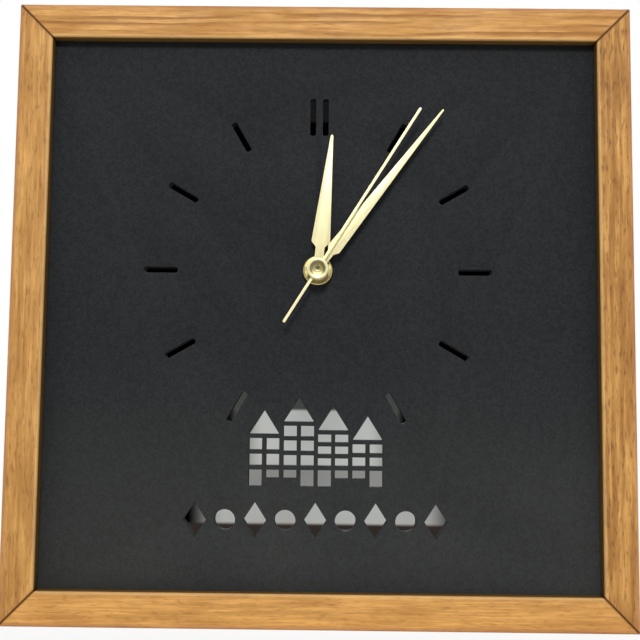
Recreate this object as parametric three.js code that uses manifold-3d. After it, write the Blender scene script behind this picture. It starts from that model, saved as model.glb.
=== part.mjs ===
// A square wooden wall clock, in millimetres, with +Z up and the wall behind it at Y = 0.
// The origin is the middle notch of the sawtooth hanger, where the wall hook bears.
//
// Everything is drawn as the viewer sees it from the front: X to the right, Y up, and Z out of the wall.
// One group at the end turns that drawing upright.
import * as THREE from "three";
import { mergeVertices } from "three/addons/utils/BufferGeometryUtils.js";
import Module from "manifold-3d";

const wasm = await Module();
wasm.setup();

// Frame
const frameSize = 300; // outside, square
const frameDepth = 32;
const railWidth = 16.5; // seen from the front
const lipDepth = 6; // from the front of the wood to the panel
const rabbetWidth = 5;
const edgeRound = 1.2; // front edges of the wood
const backEdgeRound = 0.6;
const mitreGap = 0.12; // glue line, each side of a mitre
const wallGap = 2; // the bumpers hold the frame this far off the wall

// Panel pack, front to back
const panelThickness = 3;
const mirrorThickness = 2;
const boardThickness = 3;
const packClearance = 0.5; // each side, in the rabbet

// Dial
const dialOffsetX = -2; // of the hands' axis, from the middle of the frame
const dialOffsetY = 19.5;
const markRadius = 76.5; // to the middle of a mark
const markLength = 16.2;
const markWidth = 2.4;
const markRound = 0.9;
const twelveLength = 18.5;
const twelveSpacing = 6.2;
const bushingHoleClearance = 0.3;

// Row of houses, cut through the panel
const townRise = -84.5; // of the ground line, from the middle of the frame
const houseWidth = 14.6;
const houseBridge = 2; // panel left between two houses
const wallHeights = [23, 29, 25, 20.5];
const roofHeight = 11.5;
const roofBridge = 2; // panel left between roof and windows
const paneGap = 1.9;
const doorHeight = 8;
const doorRows = [0, 1, 0, 1]; // which window column of a house stands over its door
const paneRows = [2, 3, 3, 2];

// Row of discs and lozenges, below the houses
const motifRise = -100.4;
const motifPitch = 14.4;
const motifCount = 9;
const discRadius = 5;
const lozengeWidth = 11;
const lozengeHeight = 17;

// Corner nails, glazing points, hanger and bumpers
const cornerNailInset = 3.6;
const cornerNailArm = 7;
const cornerNailThickness = 0.6;
const cornerNailHeight = 8;
const slotClearance = 0.1;
const pointWidth = 6;
const pointThickness = 0.5;
const pointInWood = 5;
const pointOverBoard = 7;
const pointSpacing = 130; // between the two points on one rail
const hangerLength = 45;
const hangerHeight = 9;
const hangerSheet = 0.8;
const hangerStandOff = 0.2; // from the wall
const hangerMargin = 1.25; // from its upper edge to the top of the frame
const hangerFoot = 8.5; // flat end that the nail goes through
const hangerJoggle = 2;
const toothPitch = 3;
const toothDepth = 1.5;
const toothCount = 7;
const nailRadius = 0.7;
const nailLength = 12;
const nailHeadRadius = 1.6;
const nailHeadHeight = 0.6;
const bumperRadius = 5;
const bumperInset = 5.75; // from the frame's lower edge to the bumper's axis
const bumperFromSide = 22;
const bumperRound = 0.5;

// Movement case
const caseSize = 56;
const caseDepth = 15.5;
const caseRound = 3;
const caseWall = 1.2;
const caseFrontWall = 1.5;
const bayHeight = 14.8;
const coverThickness = 1.2;
const coverClearance = 0.15;
const postRadius = 1.8;
const postInset = 1.5; // from the cavity's corner to the post's axis
const platePlay = 0.3;
const plateThickness = 1;
const plateToCover = 0.3;
const pivotRadius = 0.4;
const arborRadius = 0.5;
const pivotDepth = 1;
const shaftPlay = 0.06; // radial, where one piece turns in another
const fitPlay = 0.02; // radial, where one piece is pressed on another

// Fixing stack on the threaded bushing
const bushingRadius = 4;
const bushingRoot = 5;
const bushingBore = 2.62;
const bushingLength = 12.2;
const rubberThickness = 0.8;
const rubberRadius = 9;
const washerThickness = 0.5;
const washerRadius = 6.6;
const nutRadius = 7.2;
const nutHeight = 2.6;
const nutRound = 0.9;

// Hands
const hourTubeRadius = 2.5;
const hourTubeBore = 1.8;
const minuteTubeRadius = 1.7;
const minuteTubeBore = 0.6;
const hourHandRise = 12.6; // each hand's back face, from the front of the movement case
const minuteHandRise = 14.8;
const secondHandRise = 17.4;
const handSheet = 0.5;
const needleSheet = 0.35;
const hourHandLength = 67;
const hourEyeRadius = 5;
const hourNeckWidth = 4;
const hourShoulder = 12;
const hourShoulderWidth = 9.6;
const hourTipWidth = 1.6;
const minuteHandLength = 99.5;
const minuteEyeRadius = 4.6;
const minuteNeckWidth = 3.6;
const minuteShoulder = 15.5;
const minuteShoulderWidth = 7.2;
const minuteTipWidth = 1.2;
const shoulderSlope = 3.6; // length over which a neck widens to its shoulder
const secondHandLength = 93;
const secondTailLength = 30.4;
const needleWidth = 1.6;
const needleEyeRadius = 2.6;
const hourAngle = 5.4; // degrees clockwise from twelve, at rest
const minuteAngle = 37.4;
const secondAngle = 31.9;
const colletWall = 1; // of the ring that grips a hand's tube, in front of the hand
const colletHeight = 0.8;
const tubeEndPlay = 0.1; // a tube stands this far out of its collet
const capRadius = 5.2;
const capHeight = 1.9;
const capRimWidth = 1.3;
const capDish = 1.2;
const capPinHole = 1;
const secondTubeRadius = 1.3;

// Going train and motion work: teeth, and the distances between their axes
const rotorPinionTeeth = 8;
const intermediateTeeth = 40;
const intermediatePinionTeeth = 8;
const secondTeeth = 48;
const secondPinionTeeth = 8;
const thirdTeeth = 60;
const thirdPinionTeeth = 8;
const centreTeeth = 64;
const cannonTeeth = 12;
const minuteTeeth = 36;
const minutePinionTeeth = 10;
const hourTeeth = 40;
const knobTeeth = 12;
const rotorDistanceShare = 0.1915; // rotor to intermediate, of the train bay's height
const trainDistanceShare = 0.298; // intermediate and third to the centre
const axisRiseShare = 0.2872; // the hands' axis over the lower wall of the train bay
const intermediateBearing = 165; // degrees from +X, seen from the front
const rotorBearing = 110;
const thirdBearing = 50;
const minuteBearing = -10;
const knobBearing = -10;
const hourLevel = 1; // levels of the wheels, counted from the case's front wall
const minuteLevel = 2;
const centreLevel = 3;
const thirdLevel = 4;
const secondLevel = 5;
const intermediateLevel = 6;
const wheelThickness = 1;
const levelPitch = 1.5; // from one wheel's front face to the next
const firstLevel = 0.4; // from the case's front wall to the first wheel
const collarWidth = 0.7; // of the centre arbor, behind the centre wheel

// Step motor, battery and electronics
const magnetRadius = 2.5;
const magnetThickness = 1;
const statorThickness = 0.8;
const statorGap = 0.4;
const statorReachShare = 0.2845; // of the train bay's height, like the rest of the stator and its coil
const statorWidthShare = 0.2125;
const statorArmShare = 0.1065;
const statorArmLengthShare = 0.2525;
const coilLengthShare = 0.2925;
const coreThickness = 1;
const coreWidth = 3;
const coilRadius = 2.3;
const bobbinFlange = 0.8;
const bobbinWall = 0.5;
const boardWidth = 12.6;
const boardHeight = 16;
const circuitThickness = 0.8;
const chipSize = 4.5;
const chipHeight = 1.2;
const crystalRadius = 1;
const crystalLength = 6;
const batteryRadius = 7.1;
const nubRadius = 2.6;
const nubLength = 1.3;
const contactSheet = 0.4;
const contactWidth = 9;
const contactSpring = 1; // reach of the bent tongue past the strip's foot
const contactFoot = 1.2;
const contactPlay = 0.15;
const knobRadius = 5;
const knobHeight = 1.5;
const knobGap = 0.2;
const knobFlutes = 18;
const knobFluteDepth = 0.4;
const knobShaftRadius = 1;
const postHeightPlay = 0.2;

// One overrun serves every cut, so that a cutter passes its faces.
const overrun = 1;
const weldDistance = 1e-4; // closer vertices are one

// Counts of facets
const fineSides = 32;
const midSides = 16;
const smallSides = 12;
const cornerSteps = 2;

// Levels above the wall, worked out from the sizes
const half = frameSize / 2;
const frameBack = wallGap;
const frameFront = frameBack + frameDepth;
const panelFront = frameFront - lipDepth;
const panelBack = panelFront - panelThickness;
const mirrorBack = panelBack - mirrorThickness;
const boardBack = mirrorBack - boardThickness;
const caseFront = boardBack - rubberThickness;
const backWidth = railWidth - rabbetWidth; // of a rail, at the back
const packSize = frameSize - 2 * backWidth - 2 * packClearance;
const hookBelowTop = hangerMargin + hangerHeight - toothDepth;
const frameCentreY = hookBelowTop - half;
const radians = THREE.MathUtils.degToRad;

// The movement's two bays, about the hands' axis, and what takes its size from them
const caseInner = caseSize - 2 * caseWall;
const trainHeight = caseSize - 3 * caseWall - bayHeight;
const trainLow = -trainHeight * axisRiseShare;
const trainTop = trainLow + trainHeight;
const trainMiddle = (trainTop + trainLow) / 2;
const bayTop = trainLow - caseWall;
const bayLow = bayTop - bayHeight;
const caseMiddle = bayLow - caseWall + caseSize / 2;
const rotorDistance = trainHeight * rotorDistanceShare;
const trainDistance = trainHeight * trainDistanceShare;
const statorReach = trainHeight * statorReachShare;
const statorHalfWidth = (trainHeight * statorWidthShare) / 2;
const statorArm = trainHeight * statorArmShare;
const statorArmLength = trainHeight * statorArmLengthShare;
const coilLength = trainHeight * coilLengthShare;

// Materials
function finish(color, roughness, metalness) {
  return new THREE.MeshStandardMaterial({ color, roughness, metalness });
}
const oak = finish(0xc8945a, 0.6, 0);
const blackBoard = finish(0x2f3133, 0.75, 0);
const mirror = finish(0xd8dadc, 0.08, 1);
const hardboard = finish(0x6b4a2f, 0.85, 0);
const creamGold = finish(0xf3e7b4, 0.35, 0.7);
const brass = finish(0xb9a763, 0.25, 1);
const steel = finish(0xb4b7ba, 0.35, 1);
const blackPlastic = finish(0x1c1d1f, 0.5, 0);
const whitePlastic = finish(0xe6e6e0, 0.5, 0);
const rubber = finish(0x202020, 0.9, 0);
const copper = finish(0xb4693a, 0.4, 1);
const circuitGreen = finish(0x2d6b3f, 0.6, 0);
const batteryGrey = finish(0x8a8d90, 0.4, 0.6);

// Solids: closed geometries joined and cut
function toSolid(geometry) {
  const bare = geometry.index ? geometry.toNonIndexed() : geometry.clone();
  bare.deleteAttribute("normal");
  bare.deleteAttribute("uv");
  const merged = mergeVertices(bare, weldDistance);
  return new wasm.Manifold(
    new wasm.Mesh({
      numProp: 3,
      vertProperties: merged.attributes.position.array,
      triVerts: new Uint32Array(merged.index.array),
    }),
  );
}

function toGeometry(solid) {
  const mesh = solid.getMesh();
  const stride = mesh.numProp;
  const positions = new Float32Array(mesh.numVert * 3);
  for (let i = 0; i < mesh.numVert; i++) {
    positions.set(mesh.vertProperties.subarray(i * stride, i * stride + 3), i * 3);
  }
  return new THREE.BufferGeometry()
    .setAttribute("position", new THREE.BufferAttribute(positions, 3))
    .setIndex(new THREE.BufferAttribute(mesh.triVerts, 1));
}

function join(first, ...others) {
  return toGeometry(others.reduce((sum, other) => sum.add(toSolid(other)), toSolid(first)));
}

function cut(body, ...cutters) {
  return toGeometry(cutters.reduce((rest, cutter) => rest.subtract(toSolid(cutter)), toSolid(body)));
}

function common(first, second) {
  return toGeometry(toSolid(first).intersect(toSolid(second)));
}

// Outlines
function circlePoints(radius, x = 0, y = 0, sides = midSides) {
  const points = [];
  for (let i = 0; i < sides; i++) {
    const angle = (2 * Math.PI * i) / sides;
    points.push(new THREE.Vector2(x + radius * Math.cos(angle), y + radius * Math.sin(angle)));
  }
  return points;
}

// A round hole's flats, not its corners, lie at its radius, so that what turns in it clears them.
function holePoints(radius, x = 0, y = 0, sides = midSides) {
  return circlePoints(radius / Math.cos(Math.PI / sides), x, y, sides);
}

function rectanglePoints(width, height, x = 0, y = 0) {
  const corners = [[-1, -1], [1, -1], [1, 1], [-1, 1]];
  return corners.map(([i, j]) => new THREE.Vector2(x + (i * width) / 2, y + (j * height) / 2));
}

function roundedPoints(width, height, round, x = 0, y = 0) {
  const points = [];
  const corners = [[1, -1], [1, 1], [-1, 1], [-1, -1]];
  corners.forEach(([i, j], corner) => {
    for (let step = 0; step <= cornerSteps; step++) {
      const angle = (Math.PI / 2) * (corner - 1 + step / cornerSteps);
      points.push(new THREE.Vector2(
        x + i * (width / 2 - round) + round * Math.cos(angle),
        y + j * (height / 2 - round) + round * Math.sin(angle),
      ));
    }
  });
  return points;
}

function turned(points, angle) {
  return points.map((p) => p.clone().rotateAround(new THREE.Vector2(), angle));
}

// A plate of an outline with holes, between two heights.
function plate(points, low, high, holes = []) {
  const shape = new THREE.Shape(points);
  shape.holes = holes.map((hole) => new THREE.Path(hole));
  const geometry = new THREE.ExtrudeGeometry(shape, { depth: high - low, bevelEnabled: false });
  return geometry.translate(0, 0, low);
}

function rod(radius, low, high, x = 0, y = 0, sides = midSides) {
  return plate(circlePoints(radius, x, y, sides), low, high);
}

function tube(radius, bore, low, high, sides = midSides) {
  return plate(circlePoints(radius, 0, 0, sides), low, high, [holePoints(bore, 0, 0, sides)]);
}

// A drill, for a hole that goes past both faces or stops between two heights
function drill(radius, low, high, x = 0, y = 0, sides = midSides) {
  return plate(holePoints(radius, x, y, sides), low, high);
}

// A body of revolution about Z. The profile is a closed list of (radius, height).
function turnedBody(profile, sides = fineSides) {
  const points = profile.map(([radius, height]) => new THREE.Vector2(radius, height));
  points.push(points[0].clone());
  return new THREE.LatheGeometry(points, sides).rotateX(Math.PI / 2);
}

// A quarter round from one direction to the next, for a profile.
function roundCorner(radius, height, round, startQuarter) {
  const points = [];
  for (let step = 0; step <= cornerSteps; step++) {
    const angle = (Math.PI / 2) * (startQuarter + step / cornerSteps);
    points.push([radius + round * Math.cos(angle), height + round * Math.sin(angle)]);
  }
  return points;
}

// Frame rails. The section is drawn as (distance inward from the outer edge, height above the wall).
function railSection() {
  const outline = [
    ...roundCorner(backEdgeRound, frameBack + backEdgeRound, backEdgeRound, 2),
    [backWidth, frameBack],
    [backWidth, panelFront],
    [railWidth, panelFront],
    ...roundCorner(railWidth - edgeRound, frameFront - edgeRound, edgeRound, 0),
    ...roundCorner(edgeRound, frameFront - edgeRound, edgeRound, 1),
  ];
  return outline.map(([inward, height]) => new THREE.Vector2(inward, height));
}

// The rail along the top edge, about the middle of the frame. The section runs from -1 to 1, and its ends are
// then stretched to the mitres.
function railBlank() {
  const geometry = plate(railSection(), -1, 1);
  const position = geometry.attributes.position;
  for (let i = 0; i < position.count; i++) {
    const inward = position.getX(i);
    const reach = half - inward - mitreGap;
    position.setXYZ(i, -position.getZ(i) * reach, half - inward, position.getY(i));
  }
  return geometry;
}

// A corner nail straddles a mitre: one arm along each rail. It is drawn for the upper right corner.
function cornerNailPoints(clearance) {
  const near = half - cornerNailInset + clearance;
  const inner = near - cornerNailThickness - 2 * clearance;
  const end = half - cornerNailInset - cornerNailArm - clearance;
  return [[end, near], [end, inner], [inner, inner], [inner, end], [near, end], [near, near]]
    .map(([x, y]) => new THREE.Vector2(x, y));
}

function cornerNail(clearance) {
  const depth = cornerNailHeight + clearance;
  const low = clearance ? frameBack - overrun : frameBack;
  return plate(cornerNailPoints(clearance), low, frameBack + depth);
}

// A glazing point on the top rail, pushed through the rabbet wall over the back board.
function glazingPoint(side, clearance) {
  const wall = half - backWidth;
  const top = wall + pointInWood + clearance;
  const bottom = clearance ? wall - overrun : wall - pointOverBoard;
  const width = pointWidth + 2 * clearance;
  const points = rectanglePoints(width, top - bottom, (side * pointSpacing) / 2, (top + bottom) / 2);
  const high = boardBack - slotClearance + clearance;
  return plate(points, high - pointThickness - 2 * clearance, high);
}

function nailPlaces() {
  const x = hangerLength / 2 - hangerFoot / 2;
  const y = half - hangerMargin - hangerHeight / 2;
  return [[-x, y], [x, y]];
}

function rail(quarter) {
  const mirrored = cornerNail(slotClearance).rotateZ(Math.PI / 2);
  const cutters = [cornerNail(slotClearance), mirrored];
  cutters.push(glazingPoint(-1, slotClearance), glazingPoint(1, slotClearance));
  if (quarter === 0) {
    const depth = nailLength - hangerSheet + slotClearance;
    for (const [x, y] of nailPlaces()) {
      const radius = nailRadius + slotClearance;
      cutters.push(drill(radius, frameBack - overrun, frameBack + depth, x, y, smallSides));
    }
  }
  return cut(railBlank(), ...cutters);
}

// Panel pack
function houseHoles() {
  const holes = [];
  const pitch = houseWidth + houseBridge;
  const count = wallHeights.length;
  wallHeights.forEach((wallHeight, house) => {
    const left = dialOffsetX + (house - count / 2) * pitch + houseBridge / 2;
    const right = left + houseWidth;
    const eaves = townRise + wallHeight + roofBridge;
    const ridge = eaves + roofHeight;
    holes.push([[left, eaves], [right, eaves], [(left + right) / 2, ridge]]
      .map(([x, y]) => new THREE.Vector2(x, y)));
    const paneWidth = (houseWidth - paneGap) / 2;
    const rows = paneRows[house];
    for (const column of [0, 1]) {
      const x = left + paneWidth / 2 + column * (paneWidth + paneGap);
      const doorTop = townRise + doorHeight;
      if (doorRows[house] === column) {
        holes.push(rectanglePoints(paneWidth, doorHeight, x, townRise + doorHeight / 2));
      } else {
        const sill = townRise + doorHeight / 2;
        holes.push(rectanglePoints(paneWidth, doorHeight / 2, x, (sill + doorTop) / 2));
      }
      const paneHeight = (wallHeight - doorHeight - rows * paneGap) / rows;
      for (let row = 0; row < rows; row++) {
        const low = doorTop + paneGap + row * (paneHeight + paneGap);
        holes.push(rectanglePoints(paneWidth, paneHeight, x, low + paneHeight / 2));
      }
    }
  });
  return holes;
}

function motifHoles() {
  const holes = [];
  for (let i = 0; i < motifCount; i++) {
    const x = dialOffsetX + (i - (motifCount - 1) / 2) * motifPitch;
    if (i % 2) {
      holes.push(circlePoints(discRadius, x, motifRise, midSides));
    } else {
      const w = lozengeWidth / 2;
      const h = lozengeHeight / 2;
      const corners = [[-w, 0], [0, -h], [w, 0], [0, h]];
      holes.push(corners.map(([dx, dy]) => new THREE.Vector2(x + dx, motifRise + dy)));
    }
  }
  return holes;
}

function markHoles() {
  const holes = [];
  const toDial = ([x, y]) => new THREE.Vector2(dialOffsetX + x, dialOffsetY + y);
  for (const hour of [1, 2, 3, 4, 5, 7, 8, 9, 10, 11]) {
    const slot = roundedPoints(markWidth, markLength, markRound, 0, markRadius);
    holes.push(turned(slot, (-hour * Math.PI) / 6).map((p) => toDial(p.toArray())));
  }
  for (const side of [-1, 1]) {
    const slot = roundedPoints(markWidth, twelveLength, markRound, (side * twelveSpacing) / 2, markRadius);
    holes.push(slot.map((p) => toDial(p.toArray())));
  }
  return holes;
}

function bushingHole() {
  return holePoints(bushingRadius + bushingHoleClearance, dialOffsetX, dialOffsetY, midSides);
}

function packPlate(low, high, holes = []) {
  const cutters = [bushingHole(), ...holes].map((hole) => plate(hole, low - overrun, high + overrun));
  return cut(plate(rectanglePoints(packSize, packSize), low, high), ...cutters);
}

// Sawtooth hanger: a joggled strip, serrated along its lower edge
function hanger() {
  const end = hangerLength / 2;
  const footEnd = end - hangerFoot;
  const raised = footEnd - hangerJoggle;
  const foot = frameBack - hangerSheet;
  const crown = hangerStandOff;
  const rear = [
    [-end, foot], [-footEnd, foot], [-raised, crown],
    [raised, crown], [footEnd, foot], [end, foot],
  ];
  const front = rear.map(([x, z]) => [x, z + hangerSheet]).reverse();
  const top = half - hangerMargin;
  const strip = plate([...rear, ...front].map(([x, z]) => new THREE.Vector2(x, z)), 0, hangerHeight)
    .rotateX(Math.PI / 2)
    .translate(0, top, 0);
  const low = top - hangerHeight;
  const outline = [new THREE.Vector2(-end, top), new THREE.Vector2(-end, low)];
  for (let i = 0; i < toothCount; i++) {
    const x = (i - (toothCount - 1) / 2) * toothPitch;
    outline.push(new THREE.Vector2(x - toothPitch / 2, low));
    outline.push(new THREE.Vector2(x, low + toothDepth));
  }
  outline.push(new THREE.Vector2((toothCount * toothPitch) / 2, low));
  outline.push(new THREE.Vector2(end, low), new THREE.Vector2(end, top));
  const holes = nailPlaces().map(([x, y]) => holePoints(nailRadius + slotClearance, x, y, smallSides));
  return common(strip, plate(outline, crown - overrun, frameBack + overrun, holes));
}

function hangerNail([x, y]) {
  const headBack = frameBack - hangerSheet;
  const head = headBack - nailHeadHeight;
  const tip = headBack + nailLength;
  const shank = tip - nailHeadRadius;
  return turnedBody([
    [0, head], [nailHeadRadius, head], [nailHeadRadius, headBack],
    [nailRadius, headBack], [nailRadius, shank], [0, tip],
  ], smallSides).translate(x, y, 0);
}

function bumper() {
  return turnedBody([
    [0, 0],
    ...roundCorner(bumperRadius - bumperRound, bumperRound, bumperRound, 3),
    [bumperRadius, wallGap],
    [0, wallGap],
  ], smallSides);
}

// The cannon pinion is cut on the minute tube, so the tube's radius gives the distances of the motion work.
const addendumShare = 0.85; // of a gear's module
const dedendumShare = 1.15;
const cannonModule = minuteTubeRadius / (cannonTeeth / 2 - dedendumShare);
const motionDistance = (cannonModule * (cannonTeeth + minuteTeeth)) / 2;

// Places of the wheels' axes on the case, seen from the front
function along(from, distance, bearing) {
  const angle = radians(bearing);
  return [from[0] + distance * Math.cos(angle), from[1] + distance * Math.sin(angle)];
}
const centreAxis = [0, 0];
const intermediateAxis = along(centreAxis, trainDistance, intermediateBearing);
const rotorAxis = along(intermediateAxis, rotorDistance, rotorBearing);
const thirdAxis = along(centreAxis, trainDistance, thirdBearing);
const minuteAxis = along(centreAxis, motionDistance, minuteBearing);
const knobAxis = along(minuteAxis, motionDistance, knobBearing);

// Depths in the case, below its front face
const innerFront = -caseFrontWall;
const plateBack = -(caseDepth - coverThickness - plateToCover);
const plateFront = plateBack + plateThickness;
const pivotEnd = innerFront + pivotDepth;
function levelFront(level) {
  return innerFront - firstLevel - (level - hourLevel) * levelPitch;
}

// Gears. Each pair has the module that its distance asks for, and stubby teeth with room between them.
const toothThicknessShare = 0.4; // of the pitch, at the pitch circle
const toothTipShare = 0.17;
const toothRootShare = 0.62;
const fewTeeth = 20; // a pinion, whose flanks need a corner at the pitch circle
function pairModule(distance, teeth, otherTeeth) {
  return (2 * distance) / (teeth + otherTeeth);
}

function gearPoints(teeth, module, phase) {
  const pitchRadius = (module * teeth) / 2;
  const tip = pitchRadius + addendumShare * module;
  const root = pitchRadius - dedendumShare * module;
  const pitchAngle = (2 * Math.PI) / teeth;
  const flank = [[root, -toothRootShare / 2], [tip, -toothTipShare / 2]];
  if (teeth < fewTeeth) {
    flank.splice(1, 0, [pitchRadius, -toothThicknessShare / 2]);
  }
  const profile = [...flank, ...flank.map(([radius, share]) => [radius, -share]).reverse()];
  const points = [];
  for (let tooth = 0; tooth < teeth; tooth++) {
    for (const [radius, share] of profile) {
      const angle = phase + pitchAngle * (tooth + share);
      points.push(new THREE.Vector2(radius * Math.cos(angle), radius * Math.sin(angle)));
    }
  }
  return points;
}

// The phase that puts a wheel's gap on the other wheel's tooth, along the line between their axes.
function meshPhase(bearing, teeth, phase, otherTeeth) {
  const direction = radians(bearing);
  return direction + Math.PI - (Math.PI - teeth * (direction - phase)) / otherTeeth;
}

const rotorModule = pairModule(rotorDistance, rotorPinionTeeth, intermediateTeeth);
const secondModule = pairModule(trainDistance, intermediatePinionTeeth, secondTeeth);
const thirdModule = pairModule(trainDistance, secondPinionTeeth, thirdTeeth);
const centreModule = pairModule(trainDistance, thirdPinionTeeth, centreTeeth);
const hourModule = pairModule(motionDistance, minutePinionTeeth, hourTeeth);
const opposite = 180;
const intermediatePhase = meshPhase(rotorBearing + opposite, rotorPinionTeeth, 0, intermediateTeeth);
const secondPhase = meshPhase(intermediateBearing + opposite, intermediatePinionTeeth, 0, secondTeeth);
const thirdPhase = meshPhase(thirdBearing, secondPinionTeeth, 0, thirdTeeth);
const centrePhase = meshPhase(thirdBearing + opposite, thirdPinionTeeth, 0, centreTeeth);
const minutePhase = meshPhase(minuteBearing, cannonTeeth, 0, minuteTeeth);
const hourPhase = meshPhase(minuteBearing + opposite, minutePinionTeeth, 0, hourTeeth);
const knobPhase = meshPhase(knobBearing, minuteTeeth, minutePhase, knobTeeth);

function gear(teeth, module, phase, level, levelsDeep = 1) {
  const front = levelFront(level);
  const back = front - wheelThickness - (levelsDeep - 1) * levelPitch;
  return plate(gearPoints(teeth, module, phase), back, front);
}

// An arbor with a thin pivot at each end, from the case wall to the gear plate
function arbor() {
  const front = innerFront - shaftPlay;
  const back = plateFront + shaftPlay;
  return turnedBody([
    [0, plateBack], [pivotRadius, plateBack], [pivotRadius, back], [arborRadius, back],
    [arborRadius, front], [pivotRadius, front],
    [pivotRadius, pivotEnd - shaftPlay], [0, pivotEnd - shaftPlay],
  ], smallSides);
}

function rotorPinion() {
  return join(arbor(), gear(rotorPinionTeeth, rotorModule, 0, intermediateLevel));
}

const magnetBack = plateFront + shaftPlay;
function rotorMagnet() {
  return tube(magnetRadius, arborRadius + fitPlay, magnetBack, magnetBack + magnetThickness);
}

function intermediateWheel() {
  const pinion = gear(intermediatePinionTeeth, secondModule, 0, secondLevel, 2);
  return join(arbor(), gear(intermediateTeeth, rotorModule, intermediatePhase, intermediateLevel), pinion);
}

function thirdWheel() {
  const pinion = gear(thirdPinionTeeth, centreModule, 0, centreLevel, 2);
  return join(arbor(), gear(thirdTeeth, thirdModule, thirdPhase, thirdLevel), pinion);
}

function secondWheel() {
  const pinion = gear(secondPinionTeeth, thirdModule, 0, thirdLevel, 2);
  const wheel = join(pinion, gear(secondTeeth, secondModule, secondPhase, secondLevel));
  return cut(wheel, drill(arborRadius + fitPlay, plateBack, 0, 0, 0, smallSides));
}

const secondArborTip = secondHandRise + needleSheet + capHeight - capDish;
function secondArbor() {
  const back = plateFront + shaftPlay;
  return turnedBody([
    [0, plateBack], [pivotRadius, plateBack], [pivotRadius, back], [arborRadius, back],
    [arborRadius, secondArborTip], [0, secondArborTip],
  ], smallSides);
}

function centreWheel() {
  const wheel = gear(centreTeeth, centreModule, centrePhase, centreLevel);
  return cut(wheel, drill(minuteTubeRadius + shaftPlay, plateBack, 0));
}

// The minute tube, with the cannon pinion that drives the minute wheel and a collar behind the centre wheel
const minuteTubeTip = minuteHandRise + handSheet + colletHeight + tubeEndPlay;
const hourTubeTip = hourHandRise + handSheet + colletHeight + tubeEndPlay;
function centreArbor() {
  const collarFront = levelFront(centreLevel) - wheelThickness - shaftPlay;
  const collarBack = levelFront(thirdLevel) + fitPlay + shaftPlay;
  const collar = rod(minuteTubeRadius + collarWidth, collarBack, collarFront);
  const shaft = rod(minuteTubeRadius, collarBack, minuteTubeTip);
  const bore = drill(minuteTubeBore, plateBack, minuteTubeTip + overrun, 0, 0, smallSides);
  return cut(join(shaft, gear(cannonTeeth, cannonModule, 0, minuteLevel), collar), bore);
}

function minuteWheel() {
  const pinion = gear(minutePinionTeeth, hourModule, 0, hourLevel, 2);
  const wheel = join(gear(minuteTeeth, cannonModule, minutePhase, minuteLevel), pinion);
  return cut(wheel, drill(2 * pivotRadius + shaftPlay, plateBack, 0, 0, 0, smallSides));
}

function hourWheel() {
  const back = levelFront(hourLevel) - wheelThickness;
  const hourTube = rod(hourTubeRadius, back, hourTubeTip);
  const wheel = join(gear(hourTeeth, hourModule, hourPhase, hourLevel), hourTube);
  return cut(wheel, drill(hourTubeBore, plateBack, hourTubeTip + overrun));
}

function settingKnob() {
  const front = -caseDepth - knobGap;
  const points = [];
  for (let i = 0; i < 2 * knobFlutes; i++) {
    const radius = knobRadius - (i % 2) * knobFluteDepth;
    const angle = (Math.PI * i) / knobFlutes;
    points.push(new THREE.Vector2(radius * Math.cos(angle), radius * Math.sin(angle)));
  }
  const head = plate(points, front - knobHeight, front);
  const shaft = rod(knobShaftRadius, front - knobHeight / 2, innerFront - shaftPlay, 0, 0, smallSides);
  const pivot = rod(pivotRadius, levelFront(hourLevel), pivotEnd - shaftPlay, 0, 0, smallSides);
  return join(head, shaft, pivot, gear(knobTeeth, cannonModule, knobPhase, minuteLevel));
}

// Movement case: a tray with a bay for the wheels and one for the battery, open behind
function postPlaces() {
  const x = caseInner / 2 - postInset;
  const low = trainLow + postInset;
  const high = trainTop - postInset;
  return [[-x, low], [x, low], [-x, high], [x, high]];
}

function movementCase() {
  const outline = roundedPoints(caseSize, caseSize, caseRound, 0, caseMiddle);
  const blank = plate(outline, -caseDepth, 0, [holePoints(bushingRoot + fitPlay)]);
  const trainPoints = rectanglePoints(caseInner, trainHeight, 0, trainMiddle);
  const trainBay = plate(trainPoints, -caseDepth - overrun, innerFront);
  const bayPoints = rectanglePoints(caseInner, bayHeight, 0, (bayLow + bayTop) / 2);
  const batteryBay = plate(bayPoints, -caseDepth - overrun, innerFront);
  const tray = cut(blank, trainBay, batteryBay);
  const posts = postPlaces().map(([x, y]) => {
    const low = plateFront;
    return common(rod(postRadius, low, innerFront + caseFrontWall / 2, x, y), plate(trainPoints, low, 0));
  });
  const postEnd = levelFront(centreLevel) + postHeightPlay;
  posts.push(rod(2 * pivotRadius, postEnd, innerFront + caseFrontWall / 2, ...minuteAxis, smallSides));
  const pivots = [rotorAxis, intermediateAxis, thirdAxis, knobAxis].map(([x, y]) =>
    drill(pivotRadius + shaftPlay, innerFront - overrun, pivotEnd, x, y, smallSides));
  return cut(join(tray, ...posts), ...pivots);
}

function movementCover() {
  const width = caseInner - 2 * coverClearance;
  const height = trainHeight - 2 * coverClearance;
  const hole = holePoints(knobShaftRadius + coverClearance, ...knobAxis, smallSides);
  const points = rectanglePoints(width, height, 0, trainMiddle);
  return plate(points, -caseDepth, -caseDepth + coverThickness, [hole]);
}

const coilX = rotorAxis[0];
const coilY = rotorAxis[1] + statorHalfWidth + statorArmLength - coreWidth / 2;
function gearPlate() {
  const width = caseInner - 2 * platePlay;
  const height = trainHeight - 2 * platePlay;
  const holes = [rotorAxis, intermediateAxis, thirdAxis, centreAxis].map(([x, y]) =>
    holePoints(pivotRadius + shaftPlay, x, y, smallSides));
  holes.push(holePoints(knobShaftRadius + coverClearance, ...knobAxis, smallSides));
  const windowWidth = coilLength + 2 * platePlay;
  const windowHeight = 2 * (coilRadius + bobbinWall + platePlay);
  holes.push(rectanglePoints(windowWidth, windowHeight, coilX, coilY));
  return plate(rectanglePoints(width, height, 0, trainMiddle), plateBack, plateFront, holes);
}

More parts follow.
